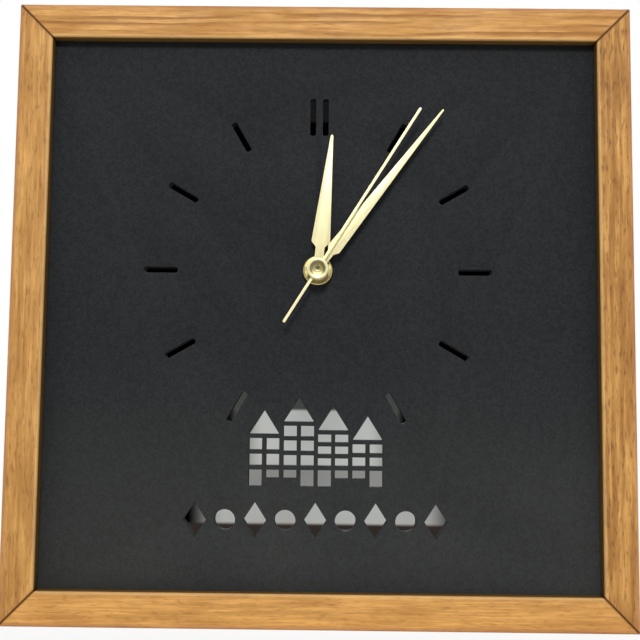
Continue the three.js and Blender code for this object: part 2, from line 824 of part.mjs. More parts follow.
function stator() {
  const [x, y] = rotorAxis;
  const armBase = y + statorHalfWidth;
  const armTop = armBase + statorArmLength;
  const inner = statorReach - statorArm;
  const outline = [
    [x - statorReach, y - statorHalfWidth], [x + statorReach, y - statorHalfWidth],
    [x + statorReach, armTop], [x + inner, armTop], [x + inner, armBase],
    [x - inner, armBase], [x - inner, armTop], [x - statorReach, armTop],
  ].map(([px, py]) => new THREE.Vector2(px, py));
  const hole = circlePoints(magnetRadius + statorGap, x, y);
  return plate(outline, plateFront, plateFront + statorThickness, [hole]);
}

const coreBack = plateFront + statorThickness;
const coilCentre = coreBack + coreThickness / 2;
function coilCore() {
  const points = rectanglePoints(2 * statorReach, coreWidth, coilX, coilY);
  return plate(points, coreBack, coreBack + coreThickness);
}

// The bobbin and its winding lie along X, on the core.
function alongCoil(geometry) {
  return geometry.rotateY(Math.PI / 2).translate(coilX, coilY, coilCentre);
}

const bobbinCore = Math.hypot(coreWidth, coreThickness) / 2 + fitPlay;
function coilBobbin() {
  const end = coilLength / 2;
  const inner = end - bobbinFlange;
  const flange = coilRadius + bobbinWall / 2;
  const barrel = bobbinCore + bobbinWall / 2;
  const spool = turnedBody([
    [0, -end], [flange, -end], [flange, -inner], [barrel, -inner],
    [barrel, inner], [flange, inner], [flange, end], [0, end],
  ], midSides);
  const boreWidth = coreThickness + 2 * fitPlay;
  const bore = plate(rectanglePoints(boreWidth, coreWidth + 2 * fitPlay), -coilLength, coilLength);
  return alongCoil(cut(spool, bore));
}

function coilWinding() {
  const inner = coilLength / 2 - bobbinFlange - fitPlay;
  return alongCoil(tube(coilRadius, bobbinCore + bobbinWall / 2 + fitPlay, -inner, inner));
}

// Electronics, on the gear plate
const circuitX = caseInner / 2 - platePlay - boardWidth / 2 - postRadius / 2;
const circuitY = trainTop - 2 * postRadius - boardHeight / 2;
const circuitFront = plateFront + circuitThickness;
function circuitBoard() {
  return plate(rectanglePoints(boardWidth, boardHeight, circuitX, circuitY), plateFront, circuitFront);
}

function driverChip() {
  const points = rectanglePoints(chipSize, chipSize, circuitX, circuitY - boardHeight / 4);
  return plate(points, circuitFront, circuitFront + chipHeight);
}

function quartzCrystal() {
  const length = crystalLength / 2;
  return rod(crystalRadius, -length, length, 0, 0, smallSides)
    .rotateY(Math.PI / 2)
    .translate(circuitX, circuitY + boardHeight / 4, circuitFront + crystalRadius);
}

// Battery and its contacts, along X in the lower bay
const batteryY = (bayLow + bayTop) / 2;
const batteryZ = innerFront - shaftPlay - batteryRadius;
const bayEnd = caseInner / 2;
const contactTip = bayEnd - contactSheet - contactSpring;
const batteryEnd = contactTip - contactPlay;
function battery() {
  const body = 2 * batteryEnd - nubLength;
  return turnedBody([
    [0, 0], [batteryRadius, 0], [batteryRadius, body], [nubRadius, body],
    [nubRadius, body + nubLength], [0, body + nubLength],
  ], midSides)
    .rotateY(Math.PI / 2)
    .translate(-batteryEnd, batteryY, batteryZ);
}

// A contact is a strip against the end of the bay, bent towards the battery in its middle. Side is 1 or -1.
function contactStrip(side) {
  const low = batteryZ - contactWidth / 2;
  const high = batteryZ + contactWidth / 2;
  const foot = bayEnd - contactSheet;
  const outline = [
    [bayEnd, low], [foot, low], [foot, low + contactFoot], [contactTip, batteryZ],
    [foot, high - contactFoot], [foot, high], [bayEnd, high], [bayEnd, high - contactFoot],
    [contactTip + contactSheet, batteryZ], [bayEnd, low + contactFoot],
  ].map(([x, z]) => new THREE.Vector2(side * x, z));
  return plate(outline, -contactWidth / 2, contactWidth / 2)
    .rotateX(Math.PI / 2)
    .translate(0, batteryY, 0);
}

// Fixing stack
function threadedBushing() {
  return turnedBody([
    [bushingBore, innerFront], [bushingRoot, innerFront], [bushingRoot, 0], [bushingRadius, 0],
    [bushingRadius, bushingLength], [bushingBore, bushingLength],
  ], midSides);
}

const panelRise = panelFront - caseFront; // the panel's front face, from the front of the movement case
const washerFront = panelRise + washerThickness;
function fixingNut() {
  const bore = bushingRadius + fitPlay;
  const top = washerFront + nutHeight;
  return turnedBody([
    [bore, washerFront], [nutRadius, washerFront],
    ...roundCorner(nutRadius - nutRound, top - nutRound, nutRound, 0),
    [bore, top],
  ]);
}

// Hands. Each is drawn pointing at twelve, from its eye along a neck to a shoulder, then tapering to its tip.
function daggerPoints(length, eye, neckWidth, shoulder, shoulderWidth, tipWidth) {
  const neck = neckWidth / 2;
  const eyeTop = Math.sqrt(eye * eye - neck * neck);
  const start = Math.atan2(eyeTop, neck);
  const points = [];
  for (let i = 0; i <= midSides; i++) {
    const angle = start - ((Math.PI + 2 * start) * i) / midSides;
    points.push([eye * Math.cos(angle), eye * Math.sin(angle)]);
  }
  const edge = [
    [neck, shoulder - shoulderSlope], [shoulderWidth / 2, shoulder],
    [tipWidth / 2, length - tipWidth / 2],
  ];
  points.push(...edge.map(([x, y]) => [-x, y]), [0, length], ...edge.reverse());
  return points.map(([x, y]) => new THREE.Vector2(x, y)).reverse();
}

function hourHand() {
  const points = daggerPoints(
    hourHandLength, hourEyeRadius, hourNeckWidth, hourShoulder, hourShoulderWidth, hourTipWidth);
  return plate(points, hourHandRise, hourHandRise + handSheet, [holePoints(hourTubeRadius + fitPlay)]);
}

function minuteHand() {
  const points = daggerPoints(
    minuteHandLength, minuteEyeRadius, minuteNeckWidth, minuteShoulder, minuteShoulderWidth, minuteTipWidth);
  return plate(points, minuteHandRise, minuteHandRise + handSheet, [holePoints(minuteTubeRadius + fitPlay)]);
}

function secondHand() {
  const top = secondHandRise + needleSheet;
  const middle = (secondHandLength - secondTailLength) / 2;
  const length = secondHandLength + secondTailLength;
  const needle = plate(rectanglePoints(needleWidth, length, 0, middle), secondHandRise, top);
  const bore = drill(arborRadius + fitPlay, secondHandRise - overrun, top + overrun, 0, 0, smallSides);
  return cut(join(needle, rod(needleEyeRadius, secondHandRise, top)), bore);
}

function handCollet(tubeRadius, rise) {
  const bore = tubeRadius + fitPlay;
  const low = rise + handSheet;
  return tube(bore + colletWall, bore, low, low + colletHeight);
}

function secondHandTube() {
  const low = minuteTubeTip + tubeEndPlay;
  return tube(secondTubeRadius, arborRadius + fitPlay, low, secondHandRise);
}

// The cap: a rounded rim round a dished face with a small hole in its middle
function secondHandCap() {
  const low = secondHandRise + needleSheet;
  const top = low + capHeight;
  const floor = top - capDish;
  const dish = capRadius - capRimWidth;
  return turnedBody([
    [capPinHole, low],
    [capRadius, low],
    ...roundCorner(capRadius - capRimWidth / 2, top - capRimWidth / 2, capRimWidth / 2, 0),
    ...roundCorner(capRadius - capRimWidth / 2, top - capRimWidth / 2, capRimWidth / 2, 1),
    [dish - capRimWidth / 2, floor],
    [capPinHole, floor],
  ]);
}

// Assembly: the frame's pieces stand about its middle, and the movement's about the hands' axis.
const clock = new THREE.Group();
clock.name = "wall_clock";
clock.rotation.x = Math.PI / 2;
const body = new THREE.Group();
body.position.y = frameCentreY;
const movement = new THREE.Group();
movement.position.set(dialOffsetX, dialOffsetY, caseFront);
body.add(movement);
clock.add(body);

function place(parent, name, geometry, material, position = [0, 0], angle = 0) {
  const mesh = new THREE.Mesh(geometry, material);
  mesh.name = name;
  mesh.position.set(position[0], position[1], 0);
  mesh.rotation.z = angle;
  parent.add(mesh);
}

const rails = ["rail_top", "rail_left", "rail_bottom", "rail_right"];
rails.forEach((name, quarter) => {
  place(body, name, rail(quarter), oak, [0, 0], (quarter * Math.PI) / 2);
});
const corners = ["top_right", "top_left", "bottom_left", "bottom_right"];
corners.forEach((corner, quarter) => {
  place(body, "corner_nail_" + corner, cornerNail(0), steel, [0, 0], (quarter * Math.PI) / 2);
});
const sides = [
  ["top", "left", "right"], ["left", "lower", "upper"],
  ["bottom", "right", "left"], ["right", "upper", "lower"],
];
sides.forEach(([side, first, second], quarter) => {
  const angle = (quarter * Math.PI) / 2;
  place(body, "glazing_point_" + side + "_" + first, glazingPoint(-1, 0), steel, [0, 0], angle);
  place(body, "glazing_point_" + side + "_" + second, glazingPoint(1, 0), steel, [0, 0], angle);
});

const panelHoles = [...markHoles(), ...houseHoles(), ...motifHoles()];
place(body, "front_panel", packPlate(panelBack, panelFront, panelHoles), blackBoard);
place(body, "mirror_sheet", packPlate(mirrorBack, panelBack), mirror);
place(body, "back_board", packPlate(boardBack, mirrorBack), hardboard);
place(body, "hanger", hanger(), steel);
place(body, "hanger_nail_left", hangerNail(nailPlaces()[0]), steel);
place(body, "hanger_nail_right", hangerNail(nailPlaces()[1]), steel);
const bumperX = half - bumperFromSide;
const bumperY = bumperInset - half;
place(body, "bumper_left", bumper(), rubber, [-bumperX, bumperY]);
place(body, "bumper_right", bumper(), rubber, [bumperX, bumperY]);

place(movement, "movement_case", movementCase(), blackPlastic);
place(movement, "movement_cover", movementCover(), blackPlastic);
place(movement, "gear_plate", gearPlate(), whitePlastic);
place(movement, "threaded_bushing", threadedBushing(), brass);
place(movement, "rubber_washer", tube(rubberRadius, bushingRadius + fitPlay, 0, rubberThickness), rubber);
place(movement, "brass_washer", tube(washerRadius, bushingRadius + fitPlay, panelRise, washerFront), brass);
place(movement, "fixing_nut", fixingNut(), brass);
place(movement, "battery", battery(), batteryGrey);
place(movement, "battery_contact_positive", contactStrip(1), steel);
place(movement, "battery_contact_negative", contactStrip(-1), steel);
place(movement, "circuit_board", circuitBoard(), circuitGreen);
place(movement, "driver_chip", driverChip(), blackPlastic);
place(movement, "quartz_crystal", quartzCrystal(), steel);
place(movement, "stator", stator(), steel);
place(movement, "coil_core", coilCore(), steel);
place(movement, "coil_bobbin", coilBobbin(), whitePlastic);
place(movement, "coil_winding", coilWinding(), copper);
place(movement, "rotor_magnet", rotorMagnet(), steel, rotorAxis);
place(movement, "rotor_pinion", rotorPinion(), whitePlastic, rotorAxis);
place(movement, "intermediate_wheel", intermediateWheel(), whitePlastic, intermediateAxis);
place(movement, "third_wheel", thirdWheel(), whitePlastic, thirdAxis);
place(movement, "second_wheel", secondWheel(), whitePlastic);
place(movement, "second_arbor", secondArbor(), steel);
place(movement, "centre_wheel", centreWheel(), whitePlastic);
place(movement, "centre_arbor", centreArbor(), brass);
place(movement, "minute_wheel", minuteWheel(), whitePlastic, minuteAxis);
place(movement, "hour_wheel", hourWheel(), whitePlastic);
place(movement, "setting_knob", settingKnob(), whitePlastic, knobAxis);
place(movement, "hour_hand", hourHand(), creamGold, centreAxis, radians(-hourAngle));
place(movement, "hour_hand_collet", handCollet(hourTubeRadius, hourHandRise), brass);
place(movement, "minute_hand", minuteHand(), creamGold, centreAxis, radians(-minuteAngle));
place(movement, "minute_hand_collet", handCollet(minuteTubeRadius, minuteHandRise), brass);
place(movement, "second_hand", secondHand(), creamGold, centreAxis, radians(-secondAngle));
place(movement, "second_hand_tube", secondHandTube(), brass);
place(movement, "second_hand_cap", secondHandCap(), brass);

export default clock;
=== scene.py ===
"""A square wooden wall clock: mitred oak rails round a black panel that is cut through to a mirror."""

import math

import bmesh
import bpy
from bpy.props import FloatProperty, FloatVectorProperty, IntProperty, IntVectorProperty, PointerProperty
from mathutils import Matrix, Vector


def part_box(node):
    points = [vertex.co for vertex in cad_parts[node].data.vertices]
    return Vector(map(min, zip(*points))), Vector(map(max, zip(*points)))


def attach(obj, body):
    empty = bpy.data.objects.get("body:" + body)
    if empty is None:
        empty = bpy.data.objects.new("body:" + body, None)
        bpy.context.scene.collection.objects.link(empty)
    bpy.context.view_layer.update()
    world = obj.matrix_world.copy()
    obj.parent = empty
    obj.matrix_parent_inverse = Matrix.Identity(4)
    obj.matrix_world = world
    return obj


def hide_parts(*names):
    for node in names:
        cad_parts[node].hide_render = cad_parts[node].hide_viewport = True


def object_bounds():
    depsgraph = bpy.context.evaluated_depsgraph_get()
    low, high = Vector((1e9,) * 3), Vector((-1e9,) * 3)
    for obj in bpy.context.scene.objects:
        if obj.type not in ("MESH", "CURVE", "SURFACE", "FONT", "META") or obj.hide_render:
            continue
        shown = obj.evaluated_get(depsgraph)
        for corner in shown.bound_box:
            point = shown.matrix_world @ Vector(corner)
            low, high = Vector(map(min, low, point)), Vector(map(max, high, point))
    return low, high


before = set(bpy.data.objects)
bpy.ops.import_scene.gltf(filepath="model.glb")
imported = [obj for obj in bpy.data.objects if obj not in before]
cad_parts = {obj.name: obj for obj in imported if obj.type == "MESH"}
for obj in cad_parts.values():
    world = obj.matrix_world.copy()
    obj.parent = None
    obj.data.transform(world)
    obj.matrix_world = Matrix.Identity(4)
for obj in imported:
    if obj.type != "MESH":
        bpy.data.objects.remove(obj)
cad_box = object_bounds()

bl_info = {
    "name": "Square Wooden Wall Clock",
    "version": (1, 0, 0),
    "blender": (4, 5, 0),
    "location": "View3D > Sidebar > Clock",
    "description": "A wooden wall clock with a cut-out panel over a mirror",
    "category": "Add Mesh",
}

# Counts of facets
ROUND_STEPS = 96
SMALL_STEPS = 48
ARC_STEPS = 8

# Angles and reaches of the modelling
SMOOTH_ANGLE = math.radians(35)  # flatter edges are shaded smooth
BREAK_ANGLE = math.radians(34)  # sharper edges are broken
CAP_BREAK_ANGLE = math.radians(50)
OVERRUN = 0.001  # a cutter passes its faces by this
WELD = 1e-6  # closer vertices are one
NEAR = 0.00016  # an edge is found by its place within this

# Width taken off the edges of each kind of piece
BROKEN_WOOD = 0.00016
BROKEN_SHEET = 0.0001
BROKEN_TURNED = 0.00012
BROKEN_PLASTIC = 0.0002
BROKEN_KNOB = 0.00008
BROKEN_HANGER = 0.00014
BROKEN_CONTACT = 0.00006

# Room left between pieces
MITRE_GAP = 0.00012  # half of the glue line at a mitre
SLOT_PLAY = 0.0001  # round the steel pushed into the wood
HUB_PLAY = 0.0003  # round the bushing, in the panel
FIT_PLAY = 0.00002  # between two pieces pressed together
COVER_PLAY = 0.00015  # round the setting knob's shaft

# Radii and walls that the boxes of the CAD nodes don't show
BUSHING_RADIUS = 0.004
BUSHING_BORE = 0.00262
HOUR_TUBE_RADIUS = 0.0025
MINUTE_TUBE_RADIUS = 0.0017
ARBOR_RADIUS = 0.0005
KNOB_SHAFT_RADIUS = 0.001
NAIL_SHEET = 0.0006
NAIL_SHANK = 0.0007
NAIL_HEAD = 0.0006
CASE_WALL = 0.0012
CASE_FRONT_WALL = 0.0015
POST_RADIUS = 0.0018
POST_INSET = 0.0015  # from the bay's corner to a post's axis

# Shares that shape the small turned pieces and mark the battery's jacket
NAIL_CROWN_SHARE = 0.6  # flat of a nail's head, of its radius
THREAD_ROOT_SHARE = 0.25  # along one turn of the bushing's thread
THREAD_CREST_SHARE = 0.75  # the same
FOOT_GROOVE_SHARES = (0.75, 0.78, 0.84)  # inner edge, bottom and outer edge, of the battery's radius
NUB_RECESS_SHARES = (0.72, 0.7)  # edge and foot, of the battery's radius
JACKET_BAND_SHARES = (0.8, 0.9)  # along the battery, from its foot
BARE_END_SHARES = (0.016, 0.965)  # the same

# The arrow and the signs moulded in the cover
ARROW_START = math.radians(150)
ARROW_END = math.radians(40)
ARROW_HEAD_TURN = math.radians(22)  # from the arrow's end to its tip
ARROW_HEAD_SHARE = 1.5  # half of the head's width, of the arrow's width
SIGN_ARM_SHARE = 2  # of the arrow's width
SIGN_RISE_SHARE = 1.7  # from the cover's foot to a sign's middle, of its arm
SIGN_INSET_SHARE = 1.8  # from the cover's side to a sign's middle, of its arm

# Where each stain, painted shade or painted highlight begins to change and where the change ends, from the
# edge that it follows
MITRE_FADE = (0.0005, 0.0013)
# painted shade along the frame's outer front edge
OUTER_EDGE_FADE = (0.001, 0.0027)
OUTER_DEPTH_FADE = (0.0008, 0.002)  # behind the frame's front
# painted highlight along the frame's inner edge
INNER_EDGE_FADE = (0.0006, 0.0018)
# painted shade on the inner walls of the lip
LIP_WALL_FADE = (0.0001, 0.0004)
LIP_DEPTH_RISE = (0.0004, 0.0014)  # behind the frame's front
CAP_HOLLOW_FADE = (-0.0002, 0.0003)

# The lamp behind, the floor, and the card that the mirror reflects
REAR_LAMP_TILT = math.radians(50)
REAR_LAMP_TURN = math.radians(160)
FLOOR_SIZE = 6.0
FLOOR_WHITE_SHARE = 0.88
CARD_DISTANCE = 1.026
CARD_REACH = 1.2  # from its middle to each side
CARD_EDGE_SOFTNESS = 0.003
CARD_SIDE_SOFTNESS = 0.03
CARD_FOOT = -0.392  # the card is warmer below this
CARD_FOOT_LEVEL = 0.04
# Bands of the card: lower and upper edge, left and right edge, and brightness
CARD_BANDS = (
    (-1.2, -0.6, -1.2, 1.2, 0.3),
    (0.26, 0.42, -1.2, 1.2, 0.012),
    (0.42, 1.2, -1.2, 1.2, 0.16),
    (-0.6, 0.42, -1.2, -0.5, 0.12),
    (-0.6, 0.42, 0.5, 1.2, 0.12),
    (-0.212, -0.158, -0.8, 0.8, 0.075),
    (-0.3, -0.212, -0.124, 0.101, 0.58),
    (-0.335, -0.3, -0.2, 0.2, 0.31),
    (-0.392, -0.335, -0.185, 0.185, 0.52),
)


def linear(red, green, blue):
    """A colour given as it looks, from 0 to 255, for Blender's linear colours."""
    shares = [value / 255 for value in (red, green, blue)]
    return tuple(s / 12.92 if s < 0.04045 else ((s + 0.055) / 1.055) ** 2.4 for s in shares)


def metres(name, description, default):
    return FloatProperty(name=name, description=description, default=default, unit="LENGTH", precision=5)


def degrees(name, description, default):
    return FloatProperty(name=name, description=description, default=math.radians(default), unit="ROTATION")


def swatch(name, description, red, green, blue):
    default = linear(red, green, blue)
    return FloatVectorProperty(
        name=name, description=description, default=default, subtype="COLOR", size=3, min=0, max=1)


# Places taken from the frame
def extent(node, axis):
    low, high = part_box(node)
    return high[axis] - low[axis]


RAILS = ("top", "left", "bottom", "right")
CORNERS = ("top_right", "top_left", "bottom_left", "bottom_right")
FRAME_LOW = Vector((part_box("rail_left")[0].x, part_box("rail_top")[0].y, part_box("rail_bottom")[0].z))
FRAME_HIGH = Vector((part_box("rail_right")[1].x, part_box("rail_top")[1].y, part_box("rail_top")[1].z))
MIDDLE = (FRAME_LOW + FRAME_HIGH) / 2
HALF = (FRAME_HIGH.x - FRAME_LOW.x) / 2
RAIL_WIDTH = extent("rail_top", 2)
PANEL_LOW, PANEL_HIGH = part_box("front_panel")
HUB = sum(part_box("fixing_nut"), Vector()) / 2


# Settings that a user would change
class RailSettings(bpy.types.PropertyGroup):
    rabbet: metres("Rabbet", "Width of the step that holds the panel", 0.005)
    front_round: metres("Front round", "Radius of the rails' front edges", 0.0012)
    back_round: metres("Back round", "Radius of the rails' outer back edges", 0.0006)
    light_wood: swatch("Light wood", "Colour of the early wood", 222, 167, 92)
    dark_wood: swatch("Dark wood", "Colour of the late wood", 152, 100, 42)
    pores: swatch("Pores", "Colour of the pores and flecks", 98, 56, 18)
    mitre_line: swatch("Mitre line", "Colour of the stain in the mitres", 104, 60, 18)
    # The lip wall colour is painted shade on the inner walls of the recess.
    lip_wall_shade: swatch("Lip wall", "Colour of the stain on the inner walls", 116, 84, 36)


class PanelSettings(bpy.types.PropertyGroup):
    mark_radius: metres("Mark radius", "From the hub to the middle of an hour mark", 0.0765)
    mark_length: metres("Mark length", "Length of an hour mark", 0.0162)
    mark_width: metres("Mark width", "Width of an hour mark", 0.0029)
    mark_round: metres("Mark round", "Radius of a mark's corners", 0.001)
    twelve_length: metres("Twelve length", "Length of the pair of marks at twelve", 0.0185)
    twelve_spacing: metres("Twelve spacing", "Between the pair of marks at twelve", 0.0062)
    town_rise: metres("Town rise", "Ground line of the houses, from the middle of the frame", -0.0845)
    house_width: metres("House width", "Width of a house", 0.0146)
    house_bridge: metres("House bridge", "Panel left between two houses", 0.002)
    wall_heights: FloatVectorProperty(
        name="Wall heights", description="Of the houses, from the left", size=4, unit="LENGTH",
        default=(0.023, 0.029, 0.025, 0.0205))
    roof_height: metres("Roof height", "From the eaves to the ridge", 0.0115)
    roof_bridge: metres("Roof bridge", "Panel left between roof and windows", 0.002)
    pane_gap: metres("Pane gap", "Panel left between two panes", 0.0019)
    door_height: metres("Door height", "Height of a door", 0.008)
    door_columns: IntVectorProperty(
        name="Door columns", description="Window column over each house's door", size=4,
        default=(0, 1, 0, 1))
    pane_rows: IntVectorProperty(
        name="Pane rows", description="Rows of panes in each house", size=4, default=(2, 3, 3, 2))
    motif_rise: metres("Motif rise", "Row of discs and lozenges, from the middle of the frame", -0.1004)
    motif_pitch: metres("Motif pitch", "From one disc to the next lozenge", 0.0144)
    motif_count: IntProperty(name="Motif count", description="Discs and lozenges in the row", default=9)
    disc_radius: metres("Disc radius", "Radius of a disc", 0.005)
    lozenge_width: metres("Lozenge width", "Width of a lozenge", 0.011)
    lozenge_height: metres("Lozenge height", "Height of a lozenge", 0.017)
    # Share of painted light that makes the panel paler towards its foot
    dust: FloatProperty(
        name="Dust", description="Share of fine dust at the panel's foot", default=0.075, subtype="FACTOR",
        min=0, max=1)
    black: swatch("Black", "Colour of the painted panel", 32, 34, 37)


class HandSettings(bpy.types.PropertyGroup):
    hour_length: metres("Hour hand", "From the hub to the tip of the hour hand", 0.067)
    hour_eye: metres("Hour eye", "Radius of the hour hand's eye", 0.005)
    hour_neck: metres("Hour neck", "Width of the hour hand's neck", 0.0044)
    hour_shoulder: metres("Hour shoulder", "From the hub to the hour hand's shoulder", 0.0138)
    hour_width: metres("Hour width", "Width at the hour hand's shoulder", 0.0091)
    hour_tip: metres("Hour tip", "Width of the hour hand's tip", 0.0014)
    minute_length: metres("Minute hand", "From the hub to the tip of the minute hand", 0.0995)
    minute_eye: metres("Minute eye", "Radius of the minute hand's eye", 0.0046)
    minute_neck: metres("Minute neck", "Width of the minute hand's neck", 0.0032)
    minute_shoulder: metres("Minute shoulder", "From the hub to the minute hand's shoulder", 0.0126)
    minute_width: metres("Minute width", "Width at the minute hand's shoulder", 0.0067)
    minute_tip: metres("Minute tip", "Width of the minute hand's tip", 0.0009)
    slope: metres("Shoulder slope", "Length over which a neck widens", 0.0026)
    second_length: metres("Second hand", "From the hub to the tip of the second hand", 0.093)
    second_tail: metres("Second tail", "From the hub to the end of the second hand's tail", 0.0304)
    needle_width: metres("Needle width", "Width of the second hand", 0.0013)
    needle_eye: metres("Needle eye", "Radius of the second hand's eye", 0.0026)
    hour_angle: degrees("Hour angle", "Clockwise from twelve", 5.4)
    minute_angle: degrees("Minute angle", "Clockwise from twelve", 37.4)
    second_angle: degrees("Second angle", "Clockwise from twelve", 31.9)
    gold: swatch("Cream gold", "Colour of the hands", 250, 240, 188)


class HubSettings(bpy.types.PropertyGroup):
    nut_round: metres("Nut round", "Radius of the nut's front edge", 0.0009)
    cap_rim: metres("Cap rim", "Width of the cap's rounded rim", 0.0015)
    cap_dish: metres("Cap dish", "Depth of the cap's dish", 0.00052)
    cap_slope: degrees("Cap slope", "Steepest slope of the cap's dish", 20)
    cap_hole: metres("Cap hole", "Radius of the hole in the cap", 0.0009)
    thread_pitch: metres("Thread pitch", "Of the bushing's thread", 0.00075)
    thread_depth: metres("Thread depth", "Of the bushing's thread", 0.0004)
    brass: swatch("Brass", "Colour of the polished brass", 236, 220, 152)


class BackSettings(bpy.types.PropertyGroup):
    bumper_round: metres("Bumper round", "Radius of a bumper's rim", 0.0005)
    steel: swatch("Steel", "Colour of the zinc-plated steel", 186, 190, 194)
    hardboard: swatch("Hardboard", "Colour of the back board", 122, 86, 54)
    rubber: swatch("Rubber", "Colour of the bumpers", 40, 40, 42)


class MovementSettings(bpy.types.PropertyGroup):
    corner_round: metres("Corner round", "Radius of the case's corners", 0.003)
    bay_height: metres("Battery bay", "Height of the battery's bay", 0.0148)
    arrow_radius: metres("Arrow radius", "Of the arrow moulded round the knob", 0.0072)
    arrow_width: metres("Arrow width", "Of the moulded arrow and signs", 0.0008)
    mould_depth: metres("Mould depth", "Depth of what is moulded in the cover", 0.0004)
    cell_round: metres("Cell round", "Radius of the battery's shoulders", 0.0007)
    nub_radius: metres("Nub radius", "Radius of the battery's nub", 0.0026)
    nub_length: metres("Nub length", "Length of the battery's nub", 0.0013)
    plastic: swatch("Plastic", "Colour of the case", 34, 35, 37)
    gear_plastic: swatch("Gear plastic", "Colour of the wheels", 228, 226, 214)
    jacket: swatch("Jacket", "Colour of the battery's jacket", 112, 120, 124)
    jacket_band: swatch("Jacket band", "Colour of the band near its nub", 206, 208, 206)


class StageSettings(bpy.types.PropertyGroup):
    camera_place: FloatVectorProperty(
        name="Camera place", description="Where the camera stands", subtype="TRANSLATION",
        default=(0.00223, -0.45764, -0.17939))
    camera_turn: FloatVectorProperty(
        name="Camera turn", description="Where the camera looks", subtype="EULER",
        default=[math.radians(angle) for angle in (94.4954, -0.6226, 0.34)])
    lens: FloatProperty(
        name="Lens", description="Focal length in millimetres", default=50, unit="CAMERA")
    key_strength: FloatProperty(
        name="Key lamp", description="Strength of the lamp above the front", default=2.0)
    key_height: degrees("Key height", "Angle of the key lamp above the horizon", 30)
    rear_strength: FloatProperty(name="Rear lamp", description="Strength of the lamp behind", default=1.3)
    lamp_spread: degrees("Lamp spread", "Apparent width of the lamps", 14)
    sky_strength: FloatProperty(name="Sky", description="Strength of the light all round", default=0.42)
    floor: swatch("Floor", "Colour of the floor", 238, 238, 236)


SETTINGS = {
    "clock_rails": RailSettings,
    "clock_panel": PanelSettings,
    "clock_hands": HandSettings,
    "clock_hub": HubSettings,
    "clock_back": BackSettings,
    "clock_movement": MovementSettings,
    "clock_stage": StageSettings,
}


# Modelling by hand
def take(piece):
    """Selects one object alone and makes it the active one."""
    bpy.ops.object.select_all(action="DESELECT")
    piece.select_set(True)
    bpy.context.view_layer.objects.active = piece


def open_mesh():
    """Starts editing the active object, with all of it selected."""
    bpy.ops.object.mode_set(mode="EDIT")
    bpy.ops.mesh.select_all(action="SELECT")


def close_mesh():
    bpy.ops.object.mode_set(mode="OBJECT")


def settle_place(piece):
    """Moves an object's place, turn and scale into its mesh."""
    take(piece)
    bpy.ops.object.transform_apply(location=True, rotation=True, scale=True)
    return piece


def block(low, high):
    """A box between two corners."""
    low = Vector(low)
    high = Vector(high)
    bpy.ops.mesh.primitive_cube_add(size=1, location=(low + high) / 2, scale=high - low)
    return settle_place(bpy.context.object)


def rod(radius, front, back, centre, steps=SMALL_STEPS):
    """A round bar along Y."""
    bpy.ops.mesh.primitive_cylinder_add(
        vertices=steps, radius=radius, depth=back - front, rotation=(math.pi / 2, 0, 0),
        location=(centre.x, (front + back) / 2, centre.z))
    return settle_place(bpy.context.object)


def drill(radius, low, high, centre):
    """A cutter for a round hole right through, between the depths of two corners."""
    return rod(radius, low.y - OVERRUN, high.y + OVERRUN, centre)


def chain(points):
    """A chain of edges, drawn by extruding one vertex from point to point."""
    points = [Vector(point) for point in points]
    bpy.ops.mesh.primitive_plane_add(size=OVERRUN, location=points[0])
    piece = settle_place(bpy.context.object)
    bpy.ops.object.mode_set(mode="EDIT")
    bpy.ops.mesh.select_mode(type="VERT")
    bpy.ops.mesh.select_all(action="SELECT")
    bpy.ops.mesh.merge(type="CENTER")
    for start, end in zip(points, points[1:]):
        bpy.ops.mesh.extrude_region_move(TRANSFORM_OT_translate={"value": end - start})
    close_mesh()
    return piece


def prism(points, reach):
    """A closed outline of points, filled and then extruded by reach."""
    piece = chain(points)
    open_mesh()
    bpy.ops.mesh.edge_face_add()
    bpy.ops.mesh.extrude_region_move(TRANSFORM_OT_translate={"value": Vector(reach)})
    bpy.ops.mesh.select_all(action="SELECT")
    bpy.ops.mesh.normals_make_consistent(inside=False)
    close_mesh()
    return piece


def plate(outline, front, back):
    """A plate cut to an outline of (x, z) points, between two depths."""
    return prism([(x, back, z) for x, z in outline], (0, front - back, 0))


def turned(profile, centre, axis=(0, 1, 0), out=(1, 0, 0), steps=ROUND_STEPS):
    """A closed profile of (radius, place along the axis), spun round an axis through centre."""
    axis = Vector(axis)
    foot = centre - axis * centre.dot(axis)
    points = [foot + Vector(out) * radius + axis * along for radius, along in profile]
    piece = chain(points + points[:1])
    open_mesh()
    bpy.ops.mesh.remove_doubles(threshold=WELD)
    bpy.ops.mesh.spin(steps=steps, angle=2 * math.pi, center=foot, axis=axis)
    bpy.ops.mesh.select_all(action="SELECT")
    bpy.ops.mesh.remove_doubles(threshold=WELD)
    bpy.ops.mesh.normals_make_consistent(inside=False)
    close_mesh()
    return piece


def arc(radius, along, bend, first, last, steps=ARC_STEPS):
    """Points of a profile on an arc of radius bend, from one angle to another."""
    angles = [first + (last - first) * step / steps for step in range(steps + 1)]
    return [(radius + bend * math.cos(angle), along + bend * math.sin(angle)) for angle in angles]


def round_edges(piece, chosen, width, segments):
    """Rounds the edges whose two ends pass a test of their places."""
    take(piece)
    bpy.ops.object.mode_set(mode="EDIT")
    bpy.ops.mesh.select_mode(type="EDGE")
    bpy.ops.mesh.select_all(action="DESELECT")
    shape = bmesh.from_edit_mesh(piece.data)
    for edge in shape.edges:
        edge.select_set(chosen(edge.verts[0].co, edge.verts[1].co))
    bmesh.update_edit_mesh(piece.data)
    bpy.ops.mesh.bevel(offset=width, segments=segments, affect="EDGES", clamp_overlap=True)
    close_mesh()
    return piece


def runs_deep(a, b):
    """Whether an edge runs along Y."""
    return a.x == b.x and a.z == b.z


def break_edges(piece, width, segments=2, angle=BREAK_ANGLE):
    """Takes a little off every sharp edge."""
    take(piece)
    modifier = piece.modifiers.new("Broken edges", "BEVEL")
    modifier.width = width
    modifier.segments = segments
    modifier.limit_method = "ANGLE"
    modifier.angle_limit = angle
    bpy.ops.object.modifier_apply(modifier=modifier.name)
    return piece


